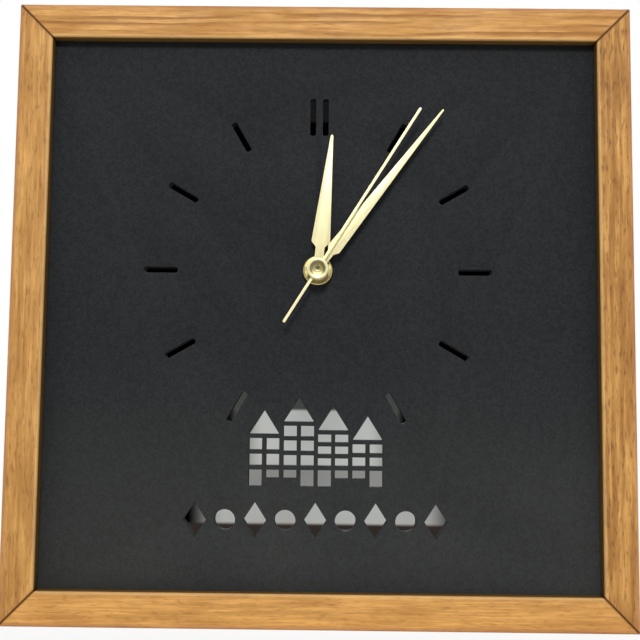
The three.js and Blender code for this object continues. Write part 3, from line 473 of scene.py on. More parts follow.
def combine(piece, tools, operation="DIFFERENCE", keep=False):
    """Cuts a piece by each tool, or joins it to each, and clears the tools away."""
    for tool in tools:
        take(piece)
        modifier = piece.modifiers.new("Cut", "BOOLEAN")
        modifier.operation = operation
        modifier.solver = "EXACT"
        modifier.object = tool
        bpy.ops.object.modifier_apply(modifier=modifier.name)
        if not keep:
            bpy.data.objects.remove(tool)
    return piece


def merge_tools(tools):
    """Several tools that don't touch, as one object."""
    bpy.ops.object.select_all(action="DESELECT")
    for tool in tools:
        tool.select_set(True)
    bpy.context.view_layer.objects.active = tools[0]
    bpy.ops.object.join()
    return tools[0]


def quarter_turned(piece, quarter):
    """A copy of a piece with its own mesh, a number of quarters anticlockwise round the frame."""
    copy = piece.copy()
    copy.data = piece.data.copy()
    bpy.context.scene.collection.objects.link(copy)
    turn = Matrix.Rotation(-quarter * math.pi / 2, 4, "Y")
    copy.matrix_world = Matrix.Translation(MIDDLE) @ turn @ Matrix.Translation(-MIDDLE)
    return settle_place(copy)


def refined(node, width, segments=2):
    """A merged copy of a CAD node with its edges broken."""
    copy = bpy.data.objects.new(node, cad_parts[node].data.copy())
    bpy.context.scene.collection.objects.link(copy)
    take(copy)
    open_mesh()
    bpy.ops.mesh.remove_doubles(threshold=WELD)
    bpy.ops.mesh.dissolve_limited(angle_limit=math.radians(1))
    close_mesh()
    return break_edges(copy, width, segments)


def hand_over(piece, name, body, slot, material, *nodes):
    """Finishes a piece: its shading, name and material, the body it rides on and the nodes it replaces."""
    take(piece)
    bpy.ops.object.shade_smooth_by_angle(angle=SMOOTH_ANGLE)
    piece.name = name
    piece.data.name = name
    piece.data.materials.clear()
    piece.data.materials.append(material)
    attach(piece, body)
    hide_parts(*nodes)


def dress(nodes, material):
    """Gives CAD nodes whose shape stays a better material."""
    for node in nodes:
        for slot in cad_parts[node].material_slots:
            slot.link = "OBJECT"
            slot.material = material


# Materials: short forms for building node trees
def add_node(tree, kind, inputs=None, **settings):
    """Adds a node, sets its options, and sets or links its inputs."""
    node = tree.nodes.new(kind)
    for key, value in settings.items():
        setattr(node, key, value)
    for key, value in (inputs or {}).items():
        if isinstance(value, bpy.types.NodeSocket):
            tree.links.new(value, node.inputs[key])
        else:
            node.inputs[key].default_value = value
    return node


def calculate(tree, operation, first, second=0.0):
    node = add_node(tree, "ShaderNodeMath", {0: first, 1: second}, operation=operation)
    return node.outputs[0]


def multiply(tree, first, second):
    return calculate(tree, "MULTIPLY", first, second)


def vector_math(tree, operation, first, second=(0, 0, 0), output=0):
    return add_node(tree, "ShaderNodeVectorMath", {0: first, 1: second}, operation=operation).outputs[output]


def shaded(colour, share, most=math.inf):
    """A colour darkened or lightened by a share, no part of it above most."""
    return tuple(min(most, value * share) for value in colour)


def blend(tree, share, first, second):
    """Mixes two colours."""
    inputs = {0: share}
    for index, colour in ((6, first), (7, second)):
        is_socket = isinstance(colour, bpy.types.NodeSocket)
        inputs[index] = colour if is_socket else (*colour[:3], 1)
    return add_node(tree, "ShaderNodeMix", inputs, data_type="RGBA").outputs[2]


def rescale(tree, value, low, high, to_low=0.0, to_high=1.0):
    """Maps a range of a value smoothly to another."""
    inputs = {"Value": value, 1: low, 2: high, 3: to_low, 4: to_high}
    return add_node(tree, "ShaderNodeMapRange", inputs, interpolation_type="SMOOTHSTEP").outputs[0]


def fade(tree, value, low, high):
    """1 below a range of a value, and 0 above it."""
    return rescale(tree, value, low, high, 1.0, 0.0)


def step_over(tree, value, edge, direction=1, soft=0.002):
    """1 where a value is past an edge, with a hair of softness, or before it when direction is -1."""
    change = rescale if direction > 0 else fade
    return change(tree, value, edge - soft, edge + soft)


def between(tree, value, low, high, soft=0.002):
    """1 where a value is past one edge and before another."""
    return multiply(tree, step_over(tree, value, low, 1, soft), step_over(tree, value, high, -1, soft))


def noise(tree, vector, scale, detail=2.0, stretch=None):
    """A noise of a given scale, stretched along the axes."""
    if stretch:
        vector = vector_math(tree, "MULTIPLY", vector, stretch)
    inputs = {"Vector": vector, "Scale": scale, "Detail": detail}
    return add_node(tree, "ShaderNodeTexNoise", inputs).outputs[0]


def waves(tree, vector, scale, axis):
    inputs = {"Vector": vector, "Scale": scale, "Distortion": 0.4}
    return add_node(tree, "ShaderNodeTexWave", inputs, bands_direction=axis).outputs[1]


def new_group(name, inputs, outputs):
    """A node group with named sockets. Inputs are (name, kind, default)."""
    group = bpy.data.node_groups.new(name, "ShaderNodeTree")
    for label, kind, default in inputs:
        socket = group.interface.new_socket(label, in_out="INPUT", socket_type=kind)
        if default is not None:
            socket.default_value = default
    for label, kind in outputs:
        group.interface.new_socket(label, in_out="OUTPUT", socket_type=kind)
    return group, group.nodes.new("NodeGroupInput"), group.nodes.new("NodeGroupOutput")


def use_group(tree, name, inputs):
    """Uses a node group, and gives its outputs."""
    return add_node(tree, "ShaderNodeGroup", inputs, node_tree=bpy.data.node_groups[name]).outputs


def new_material(name, **settings):
    """A material with its shader, and the object's own coordinates."""
    material = bpy.data.materials.new(name)
    material.use_nodes = True
    tree = material.node_tree
    shader = tree.nodes["Principled BSDF"]
    for key, value in settings.items():
        shader.inputs[key.replace("_", " ")].default_value = value
    place = tree.nodes.new("ShaderNodeTexCoord").outputs["Object"]
    return material, tree, shader, place


def connect(tree, shader, **sockets):
    for key, socket in sockets.items():
        tree.links.new(socket, shader.inputs[key.replace("_", " ")])


def bump(tree, shader, height, distance, strength=1.0):
    """Turns a height into the shader's normal."""
    inputs = {"Height": height, "Distance": distance, "Strength": strength}
    connect(tree, shader, Normal=add_node(tree, "ShaderNodeBump", inputs).outputs[0])


FLOAT = "NodeSocketFloat"
VECTOR = "NodeSocketVector"


def wood_grain_group():
    """Grain that runs along X: growth lines, fibres, pores and mottling, and the height of the surface."""
    group, start, end = new_group(
        "Wood Grain",
        [("Vector", VECTOR, None), ("Line Spacing", FLOAT, 0.0040), ("Wander", FLOAT, 0.0075)],
        [("Growth", FLOAT), ("Fibre", FLOAT), ("Pores", FLOAT), ("Flecks", FLOAT), ("Streaks", FLOAT),
         ("Mottle", FLOAT), ("Height", FLOAT)])
    vector = start.outputs["Vector"]
    drift = noise(group, vector, 1.0, 3, (13, 50, 50))
    drift = multiply(group, calculate(group, "SUBTRACT", drift, 0.5), start.outputs["Wander"])
    parts = add_node(group, "ShaderNodeSeparateXYZ", {0: vector})
    across = calculate(group, "ADD", parts.outputs[2], drift)
    across = calculate(group, "ADD", across, multiply(group, parts.outputs[1], 0.35))
    turns = calculate(group, "DIVIDE", across, start.outputs["Line Spacing"])
    # Each ring has its own width and strength.
    uneven = noise(group, vector, 1.0, 3, (5, 260, 200))
    turns = calculate(group, "ADD", turns, multiply(group, uneven, 1.7))
    ring = calculate(group, "FRACT", turns)
    rise = rescale(group, ring, 0.1, 0.8)
    fall = fade(group, ring, 0.8, 1.0)
    presence = rescale(group, noise(group, vector, 1.0, 3, (16, 190, 190)), 0.36, 0.62)
    growth = multiply(group, multiply(group, rise, fall), presence)
    fibre = noise(group, vector, 1.0, 5, (55, 1300, 1300))
    dash = noise(group, vector, 1.0, 2, (110, 1500, 1500))
    pores = multiply(group, rescale(group, dash, 0.6, 0.7), rescale(group, growth, 0.0, 0.5, 0.45, 1.0))
    flecks = rescale(group, noise(group, vector, 1.0, 2, (190, 800, 800)), 0.52, 0.72)
    streaks = rescale(group, noise(group, vector, 1.0, 4, (24, 330, 330)), 0.44, 0.62)
    mottle = noise(group, vector, 1.0, 4, (38, 120, 120))
    height = calculate(group, "SUBTRACT", multiply(group, fibre, 0.5), pores)
    values = {
        "Growth": growth, "Fibre": fibre, "Pores": pores, "Flecks": flecks, "Streaks": streaks,
        "Mottle": mottle, "Height": height}
    for label, value in values.items():
        group.links.new(value, end.inputs[label])


def frame_edges_group():
    """Masks of a frame's mitres, outer edge, inner edge and lip wall, from the place on the frame."""
    group, start, end = new_group(
        "Frame Edges",
        [("Vector", VECTOR, None), ("Half Size", FLOAT, HALF), ("Rail Width", FLOAT, RAIL_WIDTH)],
        [("Mitre", FLOAT), ("Outer Edge", FLOAT), ("Inner Edge", FLOAT), ("Lip Wall", FLOAT)])
    centred = vector_math(group, "SUBTRACT", start.outputs["Vector"], MIDDLE)
    parts = add_node(group, "ShaderNodeSeparateXYZ", {0: centred})
    front = FRAME_LOW.y - MIDDLE.y
    side = calculate(group, "ABSOLUTE", parts.outputs[0])
    rise = calculate(group, "ABSOLUTE", parts.outputs[2])
    reach = calculate(group, "MAXIMUM", side, rise)
    from_mitre = calculate(group, "ABSOLUTE", calculate(group, "SUBTRACT", side, rise))
    inner = calculate(group, "SUBTRACT", start.outputs["Half Size"], start.outputs["Rail Width"])
    from_inner = calculate(group, "SUBTRACT", reach, inner)
    from_outer = calculate(group, "SUBTRACT", start.outputs["Half Size"], reach)
    group.links.new(fade(group, from_mitre, *MITRE_FADE), end.inputs["Mitre"])
    # The outer edge's mask, on the front only, carries painted shade.
    at_front = fade(group, parts.outputs[1], *[front + reach for reach in OUTER_DEPTH_FADE])
    outer = multiply(group, fade(group, from_outer, *OUTER_EDGE_FADE), at_front)
    group.links.new(outer, end.inputs["Outer Edge"])
    # The inner edge's mask carries a painted highlight.
    group.links.new(fade(group, from_inner, *INNER_EDGE_FADE), end.inputs["Inner Edge"])
    # The wall of the lip stands within a hair of its inner edge, behind the rounding.
    behind = rescale(group, parts.outputs[1], *[front + reach for reach in LIP_DEPTH_RISE])
    # The lip wall's mask carries painted shade.
    wall = multiply(group, fade(group, from_inner, *LIP_WALL_FADE), behind)
    group.links.new(wall, end.inputs["Lip Wall"])


def speckle_group():
    """Fine flecks of paint or moulded plastic, and their height."""
    group, start, end = new_group(
        "Fine Speckle",
        [("Vector", VECTOR, None), ("Scale", FLOAT, 1500.0)],
        [("Speckle", FLOAT), ("Cloud", FLOAT), ("Height", FLOAT)])
    vector = start.outputs["Vector"]
    fine = noise(group, vector, start.outputs["Scale"], 3)
    coarse = noise(group, vector, multiply(group, start.outputs["Scale"], 0.45), 4)
    cloud = noise(group, vector, 14.0, 3)
    mixed = calculate(group, "ADD", multiply(group, fine, 0.65), multiply(group, coarse, 0.35))
    group.links.new(rescale(group, mixed, 0.38, 0.62), end.inputs["Speckle"])
    group.links.new(rescale(group, cloud, 0.3, 0.7), end.inputs["Cloud"])
    group.links.new(mixed, end.inputs["Height"])


def handling_group():
    """Smudges and hairlines left on metal by handling."""
    group, start, end = new_group(
        "Handling Marks",
        [("Vector", VECTOR, None), ("Hairline Stretch", VECTOR, None)],
        [("Smudge", FLOAT), ("Hairlines", FLOAT)])
    smudge = noise(group, start.outputs["Vector"], 160.0, 3)
    stretched = vector_math(group, "MULTIPLY", start.outputs["Vector"], start.outputs["Hairline Stretch"])
    hairlines = noise(group, stretched, 1.0, 4)
    group.links.new(rescale(group, smudge, 0.35, 0.65), end.inputs["Smudge"])
    group.links.new(hairlines, end.inputs["Hairlines"])


# Each rail's board: quarters that its grain is turned, its place in the log, the strengths of its growth
# lines, pores, flecks, streaks and mottling, and its tone
BOARDS = {
    "top": (0, (0.31, 0.02, 0.013), 1.0, 0.6, 0.15, 0.42, 0.35, 1.05),
    "left": (1, (1.7, 0.11, 0.4), 0.4, 0.5, 0.35, 0.35, 0.4, 0.94),
    "bottom": (0, (3.1, 0.27, 0.9), 0.3, 0.35, 0.25, 0.2, 0.35, 1.08),
    "right": (1, (5.2, 0.35, 1.3), 0.6, 0.8, 0.55, 0.7, 0.4, 0.93),
}


def oak_material(side, settings):
    """Oiled oak for one rail, with its own board."""
    quarters, shift, growth, pores, flecks, streaks, mottle, tone = BOARDS[side]
    material, tree, shader, place = new_material("oiled_oak_" + side, Specular_IOR_Level=0.3)
    inputs = {"Vector": place, "Rotation": (0, quarters * math.pi / 2, 0), "Location": shift}
    grain = use_group(tree, "Wood Grain", {"Vector": add_node(tree, "ShaderNodeMapping", inputs).outputs[0]})
    edges = use_group(tree, "Frame Edges", {"Vector": place})
    dark = shaded(settings.dark_wood, tone)
    layers = (
        (grain["Growth"], growth, dark),
        (rescale(tree, grain["Fibre"], 0.3, 0.7, 0.0, 0.42), 1.0, dark),
        (rescale(tree, grain["Mottle"], 0.36, 0.66), mottle, dark),
        (grain["Streaks"], streaks, dark),
        (grain["Flecks"], flecks, settings.pores),
        (grain["Pores"], pores, settings.pores),
        # painted shade: a darker line along the outer front edge
        (edges["Outer Edge"], 0.5, linear(176, 120, 80)),
        # painted highlight: a paler line along the inner rounded edge
        (edges["Inner Edge"], 0.35, linear(238, 200, 140)),
        # painted shade: the lip's inner walls darker
        (edges["Lip Wall"], 1.0, settings.lip_wall_shade),
        (edges["Mitre"], 0.85, settings.mitre_line),
    )
    colour = shaded(settings.light_wood, tone)
    for mask, strength, tint in layers:
        colour = blend(tree, multiply(tree, mask, strength), colour, tint)
    roughness = rescale(tree, grain["Mottle"], 0.3, 0.7, 0.5, 0.66)
    connect(tree, shader, Base_Color=colour, Roughness=roughness)
    bump(tree, shader, grain["Height"], 0.00008, 0.6)
    return material


def black_paint_material(settings):
    """Matt black paint with a fine fleck, painted paler towards its foot as painted light."""
    material, tree, shader, place = new_material("matt_black_paint", Specular_IOR_Level=0.1)
    speckle = use_group(tree, "Fine Speckle", {"Vector": place, "Scale": 900.0})
    black = settings.black
    darker = shaded(black, 0.78)
    paler = shaded(black, 1.3)
    colour = blend(tree, speckle["Speckle"], darker, paler)
    # Painted light: the panel is painted paler towards its foot, through a cloudy mask.
    rise = add_node(tree, "ShaderNodeSeparateXYZ", {0: place}).outputs[2]
    toward_foot = rescale(tree, rise, PANEL_LOW.z, MIDDLE.z, settings.dust, settings.dust / 6)
    foot_light_share = multiply(tree, rescale(tree, speckle["Cloud"], 0.0, 1.0, 0.7, 1.0), toward_foot)
    colour = blend(tree, foot_light_share, colour, linear(150, 152, 138))
    roughness = rescale(tree, speckle["Cloud"], 0.0, 1.0, 0.66, 0.78)
    connect(tree, shader, Base_Color=colour, Roughness=roughness)
    bump(tree, shader, speckle["Height"], 0.00008, 0.5)
    return material


def mirror_material():
    """Silvered mirror with a trace of haze."""
    material, tree, shader, place = new_material("silvered_mirror", Metallic=1.0)
    speckle = use_group(tree, "Fine Speckle", {"Vector": place, "Scale": 400.0})
    colour = blend(tree, speckle["Cloud"], linear(222, 226, 228), linear(230, 232, 232))
    roughness = rescale(tree, speckle["Cloud"], 0.0, 1.0, 0.006, 0.018)
    connect(tree, shader, Base_Color=colour, Roughness=roughness)
    return material


def hardboard_material(settings):
    """Pressed wood fibre: felted, brown, with a fine screen pattern."""
    material, tree, shader, place = new_material("pressed_hardboard", Specular_IOR_Level=0.25)
    felt = noise(tree, place, 1.0, 5, (1500, 1500, 1500))
    flakes = noise(tree, place, 1.0, 3, (900, 900, 700))
    cloud = noise(tree, place, 12.0, 3)
    low = shaded(settings.hardboard, 0.82)
    high = shaded(settings.hardboard, 1.2)
    colour = blend(tree, rescale(tree, felt, 0.35, 0.65), low, high)
    colour = blend(tree, rescale(tree, flakes, 0.52, 0.72, 0.0, 0.16), colour, linear(168, 128, 84))
    colour = blend(tree, rescale(tree, cloud, 0.3, 0.7, 0.0, 0.25), colour, linear(88, 58, 34))
    screen = multiply(tree, waves(tree, place, 320.0, "X"), waves(tree, place, 320.0, "Z"))
    height = calculate(tree, "ADD", multiply(tree, screen, 0.6), felt)
    connect(tree, shader, Base_Color=colour, Roughness=rescale(tree, felt, 0.3, 0.7, 0.7, 0.9))
    bump(tree, shader, height, 0.00006, 0.6)
    return material


def hand_gold_material(name, settings, angle):
    """Cream gold anodised sheet, brushed along a hand."""
    material, tree, shader, place = new_material(name, Metallic=0.25, Specular_IOR_Level=0.6)
    centred = vector_math(tree, "SUBTRACT", place, HUB)
    along = add_node(tree, "ShaderNodeMapping", {"Vector": centred, "Rotation": (0, -angle, 0)}).outputs[0]
    marks = use_group(tree, "Handling Marks", {"Vector": along, "Hairline Stretch": (2600, 2600, 60)})
    paler = shaded(settings.gold, 1.05, 1.0)
    deeper = shaded(settings.gold, 0.93)
    colour = blend(tree, rescale(tree, marks["Hairlines"], 0.35, 0.65), deeper, paler)
    roughness = rescale(tree, marks["Smudge"], 0.0, 1.0, 0.42, 0.52)
    connect(tree, shader, Base_Color=colour, Roughness=roughness)
    bump(tree, shader, marks["Hairlines"], 0.00002, 0.4)
    return material


def cap_material(settings, gold):
    """A cream gold rim round a polished brass hollow; the brass is painted at half brightness as painted
    shade in the hollow.
    """
    material, tree, shader, place = new_material("cap_gold")
    from_hub = vector_math(tree, "SUBTRACT", place, HUB)
    flat = vector_math(tree, "MULTIPLY", from_hub, (1, 0, 1))
    radius = vector_math(tree, "LENGTH", flat, output=1)
    edge = extent("second_hand_cap", 0) / 2 - settings.cap_rim
    hollow = fade(tree, radius, *[edge + reach for reach in CAP_HOLLOW_FADE])
    marks = use_group(tree, "Handling Marks", {"Vector": place, "Hairline Stretch": (900, 900, 900)})
    # The hollow's brass is painted at half brightness: painted shade in the dish.
    painted_shade_brass = shaded(settings.brass, 0.5)
    paler = shaded(gold, 1.05)
    rim = blend(tree, marks["Smudge"], gold, paler)
    colour = blend(tree, hollow, rim, painted_shade_brass)
    rough = rescale(tree, marks["Smudge"], 0.0, 1.0, 0.28, 0.36)
    metallic = rescale(tree, hollow, 0.0, 1.0, 0.35, 0.75)
    connect(tree, shader, Base_Color=colour, Roughness=rough, Metallic=metallic)
    bump(tree, shader, marks["Hairlines"], 0.00001, 0.3)
    return material


def metal_material(name, colour, roughness, stretch, depth=0.00002):
    """Plated or turned metal with hairlines and smudges."""
    material, tree, shader, place = new_material(name, Metallic=1.0)
    marks = use_group(tree, "Handling Marks", {"Vector": place, "Hairline Stretch": stretch})
    deeper = shaded(colour, 0.82)
    tint = blend(tree, rescale(tree, marks["Hairlines"], 0.35, 0.65), deeper, colour)
    rough = rescale(tree, marks["Smudge"], 0.0, 1.0, roughness * 0.8, roughness * 1.25)
    connect(tree, shader, Base_Color=tint, Roughness=rough)
    bump(tree, shader, marks["Hairlines"], depth, 0.4)
    return material


def plastic_material(name, colour, roughness, scale, depth, contrast=0.12, **settings):
    """Moulded plastic or rubber with a fine spark-eroded texture."""
    material, tree, shader, place = new_material(name, **settings)
    speckle = use_group(tree, "Fine Speckle", {"Vector": place, "Scale": scale})
    darker = shaded(colour, 1 - contrast)
    paler = shaded(colour, 1 + contrast, 1.0)
    tint = blend(tree, speckle["Speckle"], darker, paler)
    rough = rescale(tree, speckle["Cloud"], 0.0, 1.0, roughness - 0.06, roughness + 0.06)
    connect(tree, shader, Base_Color=tint, Roughness=rough)
    bump(tree, shader, speckle["Height"], depth, 0.5)
    return material


def winding_material():
    """Enamelled copper wire, wound turn by turn along X, painted darker between the turns as painted shade.
    """
    material, tree, shader, place = new_material("copper_winding", Metallic=1.0)
    # The colour follows the turns: painted shade in the grooves between wires.
    wires = waves(tree, place, 1600.0, "X")
    colour = blend(tree, wires, linear(112, 52, 26), linear(214, 128, 74))
    roughness = rescale(tree, wires, 0.0, 1.0, 0.5, 0.28)
    connect(tree, shader, Base_Color=colour, Roughness=roughness)
    bump(tree, shader, wires, 0.00008)
    return material


def circuit_material():
    """Green lacquered circuit board with copper tracks under the lacquer."""
    material, tree, shader, place = new_material(
        "green_circuit_lacquer", Coat_Weight=0.4, Coat_Roughness=0.2)
    cells = add_node(
        tree, "ShaderNodeTexVoronoi", {"Vector": place, "Scale": 420.0}, distance="CHEBYCHEV",
        feature="F1").outputs[0]
    tracks = rescale(tree, cells, 0.42, 0.46)
    colour = blend(tree, tracks, linear(24, 92, 52), linear(70, 132, 72))
    connect(tree, shader, Base_Color=colour, Roughness=rescale(tree, tracks, 0.0, 1.0, 0.45, 0.35))
    bump(tree, shader, tracks, 0.00003)
    return material


def jacket_material(settings, low, high, steel):
    """The battery's printed jacket with a pale band, and its bare steel ends."""
    material, tree, shader, place = new_material("battery_jacket_foil")
    parts = add_node(tree, "ShaderNodeSeparateXYZ", {0: place})
    inputs = {"Value": parts.outputs[0], 1: low.x, 2: high.x}
    along = add_node(tree, "ShaderNodeMapRange", inputs).outputs[0]
    speckle = use_group(tree, "Fine Speckle", {"Vector": place, "Scale": 900.0})
    dark = shaded(settings.jacket, 0.9)
    jacket = blend(tree, speckle["Speckle"], dark, settings.jacket)
    jacket = blend(tree, between(tree, along, *JACKET_BAND_SHARES), jacket, settings.jacket_band)
    foot_end, nub_end = BARE_END_SHARES
    ends = calculate(tree, "ADD", step_over(tree, along, foot_end, -1), step_over(tree, along, nub_end))
    colour = blend(tree, ends, jacket, steel)
    rough = rescale(tree, speckle["Cloud"], 0.0, 1.0, 0.26, 0.36)
    connect(tree, shader, Base_Color=colour, Roughness=rough, Metallic=ends)
    return material


# Operators: one for each piece or group of like pieces
def steel_slots():
    """Cutters for the corner nails, the glazing points and the hanger's nails."""
    room = Vector((SLOT_PLAY, SLOT_PLAY, SLOT_PLAY))
    tools = []
    for corner in CORNERS:
        low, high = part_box("corner_nail_" + corner)
        along_x = (low.copy(), high.copy())
        along_z = (low.copy(), high.copy())
        if corner.startswith("top"):
            along_x[0].z = high.z - NAIL_SHEET
        else:
            along_x[1].z = low.z + NAIL_SHEET
        if corner.endswith("right"):
            along_z[0].x = high.x - NAIL_SHEET
        else:
            along_z[1].x = low.x + NAIL_SHEET
        for start, end in (along_x, along_z):
            end.y += OVERRUN
            tools.append(block(start - room, end + room))
    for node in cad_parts:
        if node.startswith("glazing_point"):
            low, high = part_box(node)
            tools.append(block(low - room, high + room))
    for node in ("hanger_nail_left", "hanger_nail_right"):
        low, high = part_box(node)
        tools.append(rod(NAIL_SHANK + SLOT_PLAY, low.y - SLOT_PLAY, high.y + OVERRUN, (low + high) / 2))
    return tools


def overlaps(low, high, other_low, other_high):
    return all(low[i] < other_high[i] and other_low[i] < high[i] for i in range(3))


def mesh_box(piece):
    """Lowest and highest corner of a piece's mesh."""
    corners = [vertex.co for vertex in piece.data.vertices]
    low = Vector(min(corner[i] for corner in corners) for i in range(3))
    high = Vector(max(corner[i] for corner in corners) for i in range(3))
    return low, high


class CLOCK_OT_add_rails(bpy.types.Operator):
    """Adds the four mitred oak rails, with slots for the steel that is pushed into them"""
    bl_idname = "clock.add_rails"
    bl_label = "Oak rails"

    def execute(self, context):
        settings = context.scene.clock_rails
        top = FRAME_HIGH.z
        inner = top - RAIL_WIDTH
        step = inner + settings.rabbet
        front, back = FRAME_LOW.y, FRAME_HIGH.y
        seat = PANEL_LOW.y
        section = [(back, top), (back, step), (seat, step), (seat, inner), (front, inner), (front, top)]
        start = FRAME_LOW.x - OVERRUN
        rail = prism([(start, y, z) for y, z in section], (2 * (MIDDLE.x - start), 0, 0))

        def runs_along(depth, height):
            return lambda a, b: all(abs(v.y - depth) < NEAR and abs(v.z - height) < NEAR for v in (a, b))

        round_edges(rail, runs_along(front, top), settings.front_round, ARC_STEPS)
        round_edges(rail, runs_along(front, inner), settings.front_round, ARC_STEPS)
        round_edges(rail, runs_along(back, top), settings.back_round, ARC_STEPS // 2)
        for side in (-1, 1):
            open_mesh()
            bpy.ops.mesh.bisect(
                plane_co=(MIDDLE.x + side * (HALF - MITRE_GAP), 0, top), plane_no=(side, 0, -1),
                use_fill=True, clear_outer=True)
            close_mesh()
        break_edges(rail, BROKEN_WOOD, 1)
        tools = steel_slots()
        for quarter, side in enumerate(RAILS):
            piece = quarter_turned(rail, quarter)
            low, high = mesh_box(piece)
            combine(piece, [t for t in tools if overlaps(low, high, *mesh_box(t))], keep=True)
            oak = oak_material(side, settings)
            hand_over(piece, "oak_rail_" + side, "clock", "oak", oak, "rail_" + side)
        for tool in [*tools, rail]:
            bpy.data.objects.remove(tool)
        return {"FINISHED"}


def slot_tool(settings, across, length, angle):
    """A cutter for an hour mark: a bar with rounded corners, turned clockwise about the hub."""
    width = settings.mark_width
    centre = Vector((across, 0, settings.mark_radius))
    low = Vector((-width / 2, PANEL_LOW.y - OVERRUN, -length / 2))
    tool = block(low, (width / 2, PANEL_HIGH.y + OVERRUN, length / 2))
    round_edges(tool, runs_deep, settings.mark_round, ARC_STEPS // 2)
    tool.matrix_world = (
        Matrix.Translation((HUB.x, 0, HUB.z)) @ Matrix.Rotation(angle, 4, "Y") @ Matrix.Translation(centre))
    return settle_place(tool)


def through(outline):
    """A cutter through the panel, from an outline of (x, z) points."""
    return plate(outline, PANEL_LOW.y - OVERRUN, PANEL_HIGH.y + OVERRUN)


def mark_tools(settings):
    """Cutters for a mark at each hour but six, and for the pair at twelve."""
    hours = (1, 2, 3, 4, 5, 7, 8, 9, 10, 11)
    tools = [slot_tool(settings, 0, settings.mark_length, hour * math.pi / 6) for hour in hours]
    apart = settings.twelve_spacing / 2
    return tools + [slot_tool(settings, across, settings.twelve_length, 0) for across in (-apart, apart)]


def oblong(left, right, low, high):
    return through([(left, low), (right, low), (right, high), (left, high)])


def house_tools(settings):
    """Cutters for the roofs, panes and doors of the row of houses."""
    tools = []
    count = len(settings.wall_heights)
    pitch = settings.house_width + settings.house_bridge
    ground = MIDDLE.z + settings.town_rise
    pane_width = (settings.house_width - settings.pane_gap) / 2
    for house, wall_height in enumerate(settings.wall_heights):
        left = HUB.x + (house - count / 2) * pitch + settings.house_bridge / 2
        right = left + settings.house_width
        eaves = ground + wall_height + settings.roof_bridge
        ridge = ((left + right) / 2, eaves + settings.roof_height)
        tools.append(through([(left, eaves), (right, eaves), ridge]))
        rows = settings.pane_rows[house]
        pane_height = (wall_height - settings.door_height - rows * settings.pane_gap) / rows
        for column in (0, 1):
            near = left + column * (pane_width + settings.pane_gap)
            far = near + pane_width
            sill = ground if settings.door_columns[house] == column else ground + settings.door_height / 2
            tools.append(oblong(near, far, sill, ground + settings.door_height))
            low = ground + settings.door_height + settings.pane_gap
            for row in range(rows):
                foot = low + row * (pane_height + settings.pane_gap)
                tools.append(oblong(near, far, foot, foot + pane_height))
    return tools


def motif_tools(settings):
    """Cutters for the row of lozenges and discs."""
    tools = []
    z = MIDDLE.z + settings.motif_rise
    for index in range(settings.motif_count):
        x = HUB.x + (index - (settings.motif_count - 1) / 2) * settings.motif_pitch
        if index % 2:
            tools.append(drill(settings.disc_radius, PANEL_LOW, PANEL_HIGH, Vector((x, 0, z))))
        else:
            w = settings.lozenge_width / 2
            h = settings.lozenge_height / 2
            tools.append(through([(x - w, z), (x, z - h), (x + w, z), (x, z + h)]))
    return tools


class CLOCK_OT_add_panel(bpy.types.Operator):
    """Adds the black panel with its marks, houses and row of motifs cut right through"""
    bl_idname = "clock.add_panel"
    bl_label = "Cut-out panel"

    def execute(self, context):
        settings = context.scene.clock_panel
        panel = block(PANEL_LOW, PANEL_HIGH)
        tools = mark_tools(settings) + house_tools(settings) + motif_tools(settings)
        tools.append(drill(BUSHING_RADIUS + HUB_PLAY, PANEL_LOW, PANEL_HIGH, HUB))
        combine(panel, [merge_tools(tools)])
        break_edges(panel, BROKEN_SHEET)
        paint = black_paint_material(settings)
        hand_over(panel, "cut_out_panel", "clock", "black_panel", paint, "front_panel")
        return {"FINISHED"}


class CLOCK_OT_dress_sheets(bpy.types.Operator):
    """Gives the mirror and the back board their finish"""
    bl_idname = "clock.dress_sheets"
    bl_label = "Mirror and back board"

    def execute(self, context):
        dress(["mirror_sheet"], mirror_material())
        dress(["back_board"], hardboard_material(context.scene.clock_back))
        return {"FINISHED"}


def hand_outline(points, angle):
    """Turns (across, along) points clockwise about the hub."""
    sine, cosine = math.sin(angle), math.cos(angle)
    return [
        (HUB.x + across * cosine + along * sine, HUB.z - across * sine + along * cosine)
        for across, along in points]


def dagger(length, eye, neck, shoulder, width, tip, slope):
    """A hand's outline: a round eye, a neck, a shoulder and a long taper to a fine tip."""
    start = math.atan2(math.sqrt(eye * eye - neck * neck / 4), neck / 2)
    eye_points = arc(0, 0, eye, start, -math.pi - start, ROUND_STEPS // 2)
    side = [(neck / 2, shoulder - slope), (width / 2, shoulder), (tip / 2, length - tip / 2)]
    return [*eye_points, *[(-x, z) for x, z in side], (0, length), *reversed(side)]


HAND_KEYS = ("length", "eye", "neck", "shoulder", "width", "tip")


